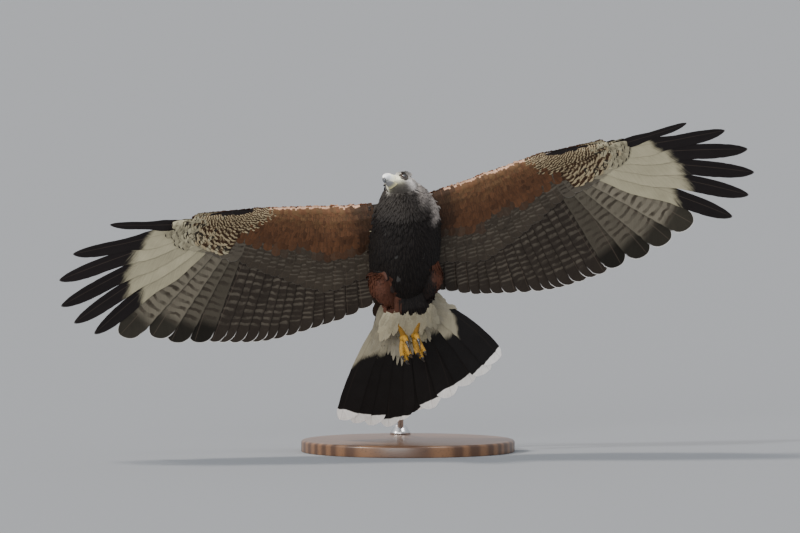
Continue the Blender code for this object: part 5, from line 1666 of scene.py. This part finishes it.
# %% [markdown]
# The bill is horn over bone: deep at the base, narrow along the ridge, and drawn out into a
# hook that hangs over the lower half. The soft yellow cere wraps its base and holds the
# nostrils. It is pale where it leaves the cere and black at the hook.

# %% Bill
BILL_RINGS = [(0.025, 0.001, 0.0096, 0.0092, 0.0), (0.0295, 0.0016, 0.0082, 0.0086, 6.0),
              (0.0335, 0.0012, 0.007, 0.0076, 14.0), (0.0378, -0.0008, 0.0056, 0.0062, 30.0),
              (0.0416, -0.0044, 0.004, 0.0046, 52.0), (0.0441, -0.0096, 0.0026, 0.0031, 74.0),
              (0.0442, -0.015, 0.0006, 0.0008, 92.0)]
LOWER_BILL_RINGS = [(0.0215, -0.0098, 0.0082, 0.0022, 0.0), (0.028, -0.0092, 0.0068, 0.0024, 0.0),
                    (0.0342, -0.0086, 0.0046, 0.0021, 0.0), (0.0382, -0.0082, 0.0018, 0.001, 0.0)]
CERE_LENGTH = 8.5 * MM
NOSTRIL_PLACE = (0.03, 0.0082, 0.004)
NOSTRIL_RADII = (1.6 * MM, 2.2 * MM, 1.0 * MM)


def bill_rings(rows, pinch=0.3, sides=36):
    """Sections that lean with the bill, narrower along the ridge than at the cutting edge."""
    made = []
    turn = full_turn(sides)
    for forward, up, half_width, half_height, slope in rows:
        lean = math.radians(slope)
        upward = np.array((math.sin(lean), 0.0, math.cos(lean)))
        rise = np.sin(turn)
        width = half_width * (1 - pinch * np.clip(rise, 0, 1) ** 1.5) * np.cos(turn)
        height = half_height * np.where(rise > 0, rise, 0.8 * rise)
        made.append(np.array((forward, 0.0, up)) + width[:, None] * Y_AXIS + height[:, None] * upward)
    return made


def horn_material(name, base, tip, start, end, rough):
    """Horn that darkens along the bill, from one distance in the head's frame to another."""
    t = new_material(name, rough, Specular_IOR_Level=0.5, Coat_Weight=0.25, Coat_Roughness=0.25)
    grain = t.noise(t.place(), 900.0, 4.0)
    share = t.plus(t.attribute("along"), t.times(t.minus(grain, 0.5), 0.12))
    colour = t.lit(t.mix(t.step(share, start, end), base, tip), t.plus(t.times(grain, 0.3), 0.85))
    return t.dress(colour, grain, 0.25, 0.0002)


def write_along(mesh, start, end):
    """How far along the bill each point lies, following the hook down."""
    local = in_head(mesh_points(mesh))
    reach = local[:, 0] - 0.9 * np.minimum(0.0, local[:, 2] + 0.002)
    write_attribute(mesh, "along", "FLOAT", (reach - start) / (end - start))


bill_rows = smooth_rows(BILL_RINGS, 61)
bend = SKULL_RINGS[-1][0] + CERE_LENGTH
horn_rows = [row for row in bill_rows if row[0] > bend - 0.0009 or row[1] < -0.004]
cere_rows = [row for row in bill_rows if row[0] < bend + 0.0004 and row[1] > -0.004]
cere_rows = [(row[0], row[1], row[2] + 0.35 * MM * math.sin(math.pi * share),
              row[3] + 0.3 * MM * math.sin(math.pi * share), row[4])
             for row, share in zip(cere_rows, np.linspace(0.15, 1.0, len(cere_rows)))]
cere_rows.insert(0, (0.0205, 0.0004, 0.0094, 0.009, 0.0))

HORN = horn_material("horn", (0.86, 0.87, 0.88), (0.03, 0.032, 0.038), 0.5, 0.78, 0.32)
CERE = horn_material("cere", (0.93, 0.9, 0.58), (0.93, 0.92, 0.8), 0.0, 1.0, 0.5)
LOWER = horn_material("lower bill", (0.8, 0.72, 0.36), (0.22, 0.22, 0.22), 0.35, 0.9, 0.38)
upper = smooth_piece("upper_bill", [loft(bill_rings(horn_rows))], HORN)
write_along(upper.data, bend, 0.056)
hang(upper, "bill_upper")
cere = smooth_piece("cere_skin", [loft(bill_rings(cere_rows, 0.22))], CERE)
carved(cere, head_form("nostrils", [ball(np.array(NOSTRIL_PLACE) * (1, side, 1), NOSTRIL_RADII)
                                    for side in SIDES]))
write_along(cere.data, 0.02, bend)
hang(cere, "cere")
lower_rows = smooth_rows(LOWER_BILL_RINGS, 22)
lower = smooth_piece("lower_bill", [loft(bill_rings(lower_rows, 0.05, 28))], LOWER)
write_along(lower.data, 0.022, 0.04)
hang(lower, "bill_lower")

# %% [markdown]
# Between the thighs the belly's black ends, and soft white tufts hang back over the bare
# legs, which are drawn up against the tail. They lie on a shallow curved sheet just below
# the legs, with a parting where one leg shows.

# %% White tufts over the legs
TUFT_DEPTH = -0.0455
BELLY_END = -0.0825  # how far back the black reaches in the middle
BROWN_BELLY = (0.026, 0.036)  # to the right of this the belly turns brick brown
PARTING = (-0.034, -0.027)  # how far aside the coat is parted over the right leg
TUFT_TIERS = ((-0.078, 0.042), (-0.071, 0.037), (-0.065, 0.031), (-0.065, 0.028))


def under_legs(forward, left, height):
    """A sheet below the legs that turns up towards the sides."""
    aside = np.abs(left + 0.0135)
    depth = TUFT_DEPTH + 16.0 * np.maximum(0.0, aside - 0.018) ** 2
    depth = depth + 0.16 * np.maximum(0.0, -0.08 - forward)
    depth = depth + 0.55 * np.maximum(0.0, forward + 0.068)
    return np.stack([forward, left, depth - height], axis=-1)


batch = Batch("leg_tufts", 41, under_legs)
draw = batch.draw
for tier, (start, length) in enumerate(TUFT_TIERS):
    for left in np.arange(-0.047, 0.024, 0.0028):
        left = left + draw.normal(0, 0.001)
        if PARTING[0] < left < PARTING[1]:
            continue
        root = np.array((start + draw.normal(0, 0.0015) - 12.0 * max(0.0, left) ** 2, left))
        reach = length * draw.uniform(0.8, 1.15) * (1 + 0.5 * eased(-left, 0.03, 0.05))
        turn = 0.25 * (left + 0.0135) / 0.033 + draw.normal(0, 0.1)
        tip = root + reach * np.array((-math.cos(turn), math.sin(turn)))
        cream = mixed(VENT_WHITE, VENT_CREAM, draw.random())
        batch.add(root, tip, 0.0095, TUFT, (9, 5), 0.14 * MM, Look(cream),
                  ((left + 0.05) * 8, 0.2 * tier + 0.1, 0.04), bow=draw.normal(0, 0.001),
                  tilt=draw.normal(0, 2.5), lift=lambda *at: 0.6 * MM * tier * (1 - at[2]),
                  cup=-0.06, fray=0.5)
# The last feathers of the belly lie over the roots of the tufts
for row in range(5):
    for left in np.arange(-0.052, 0.026, 0.0034):
        left = left + draw.normal(0, 0.0006)
        end = BELLY_END - 0.2217 * left + 0.006 * row + draw.normal(0, 0.001)
        tip = np.array((end + 35.0 * max(0.0, left) ** 2, left))
        turn = 0.35 * (left + 0.0135) / 0.033 + draw.normal(0, 0.08)
        root = tip - 0.02 * np.array((-math.cos(turn), math.sin(turn)))
        colour = mixed(SOOT, BRICK, eased(-left, *BROWN_BELLY))
        batch.add(root, tip, 0.008, COVERT, (9, 5), 0.25 * MM, Look(colour, rim=0.03),
                  ((left + 0.06) * 8, 0.015 * row + 0.92, 0.04), tilt=draw.normal(0, 3.0),
                  lift=lambda *at: (3.0 + 0.35 * row) * MM - 0.0022 * at[2], cup=0.06, fray=0.2)
batch.finish(COVERT_FINISH, 0.003)

# %% [markdown]
# The legs below the thighs are bare. Plates of horn, called scutes, run down the front of the
# leg and over each toe. The toes are curled into loose fists and each ends in a long black
# claw. A foot is melted into one form, so that the toes grow out of the palm.

# %% Legs and feet
FOOT_MIDDLE = -0.015
TARSUS_PATH = [(-0.062, 0.029, -0.037, 0.0044), (-0.092, 0.018, -0.039, 0.0038),
               (-0.117, 0.0098, -0.039, 0.0044)]
FOOT_PLACE = (-0.122, 0.009, -0.039)
FOOT_RADIUS = 0.0068
# Toes: turn aside, length, first slope down, bend, claw length
TOES = [(7.0, 0.0385, 4.0, 66.0, 0.0175), (-9.0, 0.0315, 12.0, 70.0, 0.018),
        (22.0, 0.031, 6.0, 64.0, 0.015), (176.0, 0.018, 58.0, 48.0, 0.0195)]
TOE_RADII = (0.0048, 0.0034)
CLAW_RADII = (0.0027, 0.0003)
CLAW_BEND = 72.0
SCUTE = 2.3 * MM  # length of one plate


def bent_path(start, turn, slope, bend, length, radii, count=5):
    """Points along an arc that starts backwards and bends towards the belly."""
    aside = math.radians(turn)
    rows, place = [], np.array(start, float)
    for index in range(count):
        share = index / (count - 1)
        rows.append((*place, radii[0] + (radii[1] - radii[0]) * share))
        down = math.radians(slope + bend * (share + 0.5 / (count - 1)))
        step = np.array((-math.cos(down) * math.cos(aside), math.cos(down) * math.sin(aside),
                         -math.sin(down)))
        place = place + step * length / (count - 1)
    return rows


def scaled_limb(path, outward, sides=22, plate=SCUTE, swell=0.0):
    """A limb with plates on its outer side; returns its loft and each point's painted crease shade."""
    rough = np.asarray(path, float)
    length = np.linalg.norm(np.diff(rough[:, :3], axis=0), axis=1).sum()
    count = int(length / 0.00036)
    rows = smooth_rows(rough, count)
    travelled = np.linspace(0, length, count)
    phase = (travelled / plate) % 1.0
    ridge = np.clip(1 - np.abs(phase - 0.45) / 0.45, 0, 1) ** 0.5
    pads = 1 + swell * np.sin(travelled / length * math.pi * 5) ** 2
    rings, painted_crease_shades = [], []
    turn = full_turn(sides)
    for index, row in enumerate(rows):
        across, upward = way_along(rows, index, outward)
        facing = np.clip(np.sin(turn) + 0.35, 0, 1)
        radius = row[3] * (1 + (pads[index] - 1) * np.clip(-np.sin(turn), 0, 1))
        radius = radius + 0.28 * MM * (ridge[index] - 0.6) * facing
        rings.append(row[:3] + (np.cos(turn) * radius)[:, None] * across
                     + (np.sin(turn) * radius)[:, None] * upward)
        painted_crease_shades.append((1 - ridge[index]) * facing)
    painted_crease_shades = np.concatenate([np.ravel(painted_crease_shades), [0.0, 0.0]])
    return loft(rings), painted_crease_shades


def scale_material():
    t = new_material("scaly leg", 0.5, Specular_IOR_Level=0.3, Subsurface_Weight=0.04,
                     Subsurface_Scale=0.004)
    grain = t.noise(t.place(), 700.0, 3.0)
    cells = t.node("ShaderNodeTexVoronoi", {"Vector": t.place(), "Scale": 950.0},
                   feature="DISTANCE_TO_EDGE").outputs["Distance"]
    net = t.step(cells, 0.16, 0.02)
    # Painted shade: the creases between the plates are darkened; the net of cells is the skin's own fine
    # seams
    dark = t.math("MAXIMUM", t.times(t.attribute("crease"), 0.85), t.times(net, 0.45))
    yellow = t.mix(grain, (0.29, 0.145, 0.012), (0.42, 0.24, 0.028))
    return t.dress(t.mix(dark, yellow, (0.11, 0.048, 0.012)), t.minus(1.0, net), 0.5, 0.0003)


def claw_material():
    t = new_material("claw", 0.28, Specular_IOR_Level=0.5, Coat_Weight=0.3)
    grain = t.grain((500.0, 2200.0, 900.0))
    return t.dress(t.mix(grain, (0.006, 0.005, 0.006), (0.024, 0.021, 0.021)),
                   rough=t.plus(t.times(grain, 0.25), 0.18))


def make_foot(side, finish):
    """The foot in one form, its plates kept through the melt; returns the claws' paths."""
    palm = np.array((FOOT_PLACE[0], FOOT_PLACE[1] * side + FOOT_MIDDLE, FOOT_PLACE[2]))
    parts, painted_crease_shades, claws = [ball(palm, (FOOT_RADIUS,) * 3)], [], []
    painted_crease_shades.append(np.zeros(len(parts[0][0])))
    for turn, length, slope, bend_by, claw_length in TOES:
        path = bent_path(palm, turn * side, slope, bend_by, length, TOE_RADII)
        away = np.array((0.35, 0.0, 0.94)) if turn < 90 else np.array((-0.5, 0.0, -0.86))
        part, crease = scaled_limb(path, away, swell=0.16)
        parts.append(part)
        painted_crease_shades.append(crease)
        claws.append(bent_path(path[-1][:3], turn * side, slope + bend_by, CLAW_BEND,
                               claw_length, CLAW_RADII, 9))
    name = "scaly_foot_" + SIDES[side]
    foot = linked(name, mesh_of(parts, name))
    melted(foot, 0.42 * MM, 1)
    found = taken_from(np.vstack([part[0] for part in parts]), np.concatenate(painted_crease_shades),
                       mesh_points(foot.data))
    write_attribute(foot.data, "crease", "FLOAT", found)
    dressed(foot.data, finish)
    hang(foot, "foot_" + SIDES[side])
    return claws


def make_leg(side, finish):
    path = sided(TARSUS_PATH, side, FOOT_MIDDLE)
    part, crease = scaled_limb(path, np.array((0.15, 0.0, -1.0)), 30, 2.9 * MM)
    name = "scaly_leg_" + SIDES[side]
    leg = linked(name, mesh_of([part], name))
    write_attribute(leg.data, "crease", "FLOAT", crease)
    dressed(leg.data, finish)
    hang(leg, "tarsus_" + SIDES[side])


def make_claw(side, number, path, finish):
    name = "talon_%s_%d" % (SIDES[side], number)
    rows = smooth_rows(path, 40)
    rows[:, 3] *= 1 + 0.1 * np.exp(-np.linspace(0, 6, 40))
    claw = linked(name, mesh_of([tube(rows, 20, 0.9, upward=Y_AXIS)], name))
    dressed(claw.data, finish)
    hang(claw, "claw_%s_%d" % (SIDES[side], number))


SCALES, CLAW = scale_material(), claw_material()
for side in SIDES:
    make_leg(side, SCALES)
    for number, path in enumerate(make_foot(side, SCALES), 1):
        make_claw(side, number, path, CLAW)

# %% [markdown]
# The stand stays as plain as in the solids: a turned wooden disc, a steel socket and a
# slanted steel rod. Only its edges are rounder, and the wood gets its grain.

# %% Stand
BASE_RADIUS = 0.165
BASE_THICKNESS = 0.018
BASE_BEVEL = 0.004
SOCKET_RADIUS = 0.016
SOCKET_HEIGHT = 0.014
ROD_RADIUS = 0.005
ROD_FOOT = (-0.012, 0.136)
ROD_TOP = (0.01, 0.0, 0.02)
GAP = 0.3 * MM


def turned(profile, name, sides=160):
    """A solid turned about its upright axis from a profile that runs from top to bottom."""
    return mesh_of([loft([oval((0.0, 0.0, height), X_AXIS, Y_AXIS, sides, radius, radius)
                          for radius, height in profile])], name)


def rounded(radius, low, high, bevel, steps=8):
    """The profile of a disc with rounded upper and lower edges."""
    angles = np.linspace(0, math.pi / 2, steps)
    upper = [(radius - bevel * (1 - math.sin(a)), high - bevel * (1 - math.cos(a))) for a in angles]
    foot = 0.3 * bevel
    lower = [(radius - foot * (1 - math.cos(a)), low + foot * (1 - math.sin(a))) for a in angles]
    return upper + lower


def wood_material():
    t = new_material("walnut", 0.42, Coat_Weight=0.25, Coat_Roughness=0.22)
    wander = t.grain((3.0, 9.0, 1.0), 3.0)
    across = t.plus(t.times(t.parts(t.place())[1], 46.0), t.times(wander, 3.2))
    rings = t.step(t.math("SINE", t.times(across, 2 * math.pi)), -0.9, 1.0)
    pores = t.grain((18.0, 900.0, 500.0))
    colour = t.mix(rings, (0.062, 0.027, 0.012), (0.15, 0.073, 0.033))
    colour = t.mix(t.times(t.step(pores, 0.56, 0.7), 0.55), colour, (0.03, 0.013, 0.006))
    return t.dress(colour, pores, 0.15, 0.0003)


def steel_material():
    t = new_material("brushed steel", 0.28, Metallic=1.0)
    brushed = t.grain((60.0, 60.0, 4000.0))
    return t.dress(t.mix(brushed, (0.5, 0.5, 0.51), (0.66, 0.66, 0.67)),
                   rough=t.plus(t.times(brushed, 0.2), 0.2))


def stand_piece(name, mesh, material, node):
    dressed(mesh, material)
    mesh.set_sharp_from_angle(angle=math.radians(50.0))
    piece = linked(name, mesh)
    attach(piece, "root")
    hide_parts(node)


wood, steel = wood_material(), steel_material()
base_profile = [(0.004, BASE_THICKNESS), (0.08, BASE_THICKNESS),
                *rounded(BASE_RADIUS, 0.0, BASE_THICKNESS, BASE_BEVEL), (0.08, 0.0), (0.004, 0.0)]
stand_piece("wooden_base", turned(base_profile, "wooden_base"), wood, "stand_base")
foot = np.array((*ROD_FOOT, BASE_THICKNESS + GAP))
socket_profile = [(0.002, SOCKET_HEIGHT), (SOCKET_RADIUS * 0.55, SOCKET_HEIGHT),
                  (SOCKET_RADIUS * 0.62, SOCKET_HEIGHT - 0.8 * MM),
                  (SOCKET_RADIUS * 0.95, SOCKET_HEIGHT * 0.32), (SOCKET_RADIUS, 3.2 * MM),
                  (SOCKET_RADIUS, 0.3 * MM), (SOCKET_RADIUS - 0.3 * MM, 0.0), (0.002, 0.0)]
socket_mesh = turned(socket_profile, "steel_socket", 72)
socket_mesh.transform(Matrix.Translation(foot))
stand_piece("steel_socket", socket_mesh, steel, "stand_socket")
top = np.array(BIRD @ Vector(ROD_TOP))
slant = (top - foot) / np.linalg.norm(top - foot)
rod_ends = [(*(foot + slant * 0.0105), ROD_RADIUS), (*top, ROD_RADIUS)]
stand_piece("steel_rod", mesh_of([tube(rod_ends, 48, upward=X_AXIS)], "steel_rod"), steel, "stand_rod")

# %% [markdown]
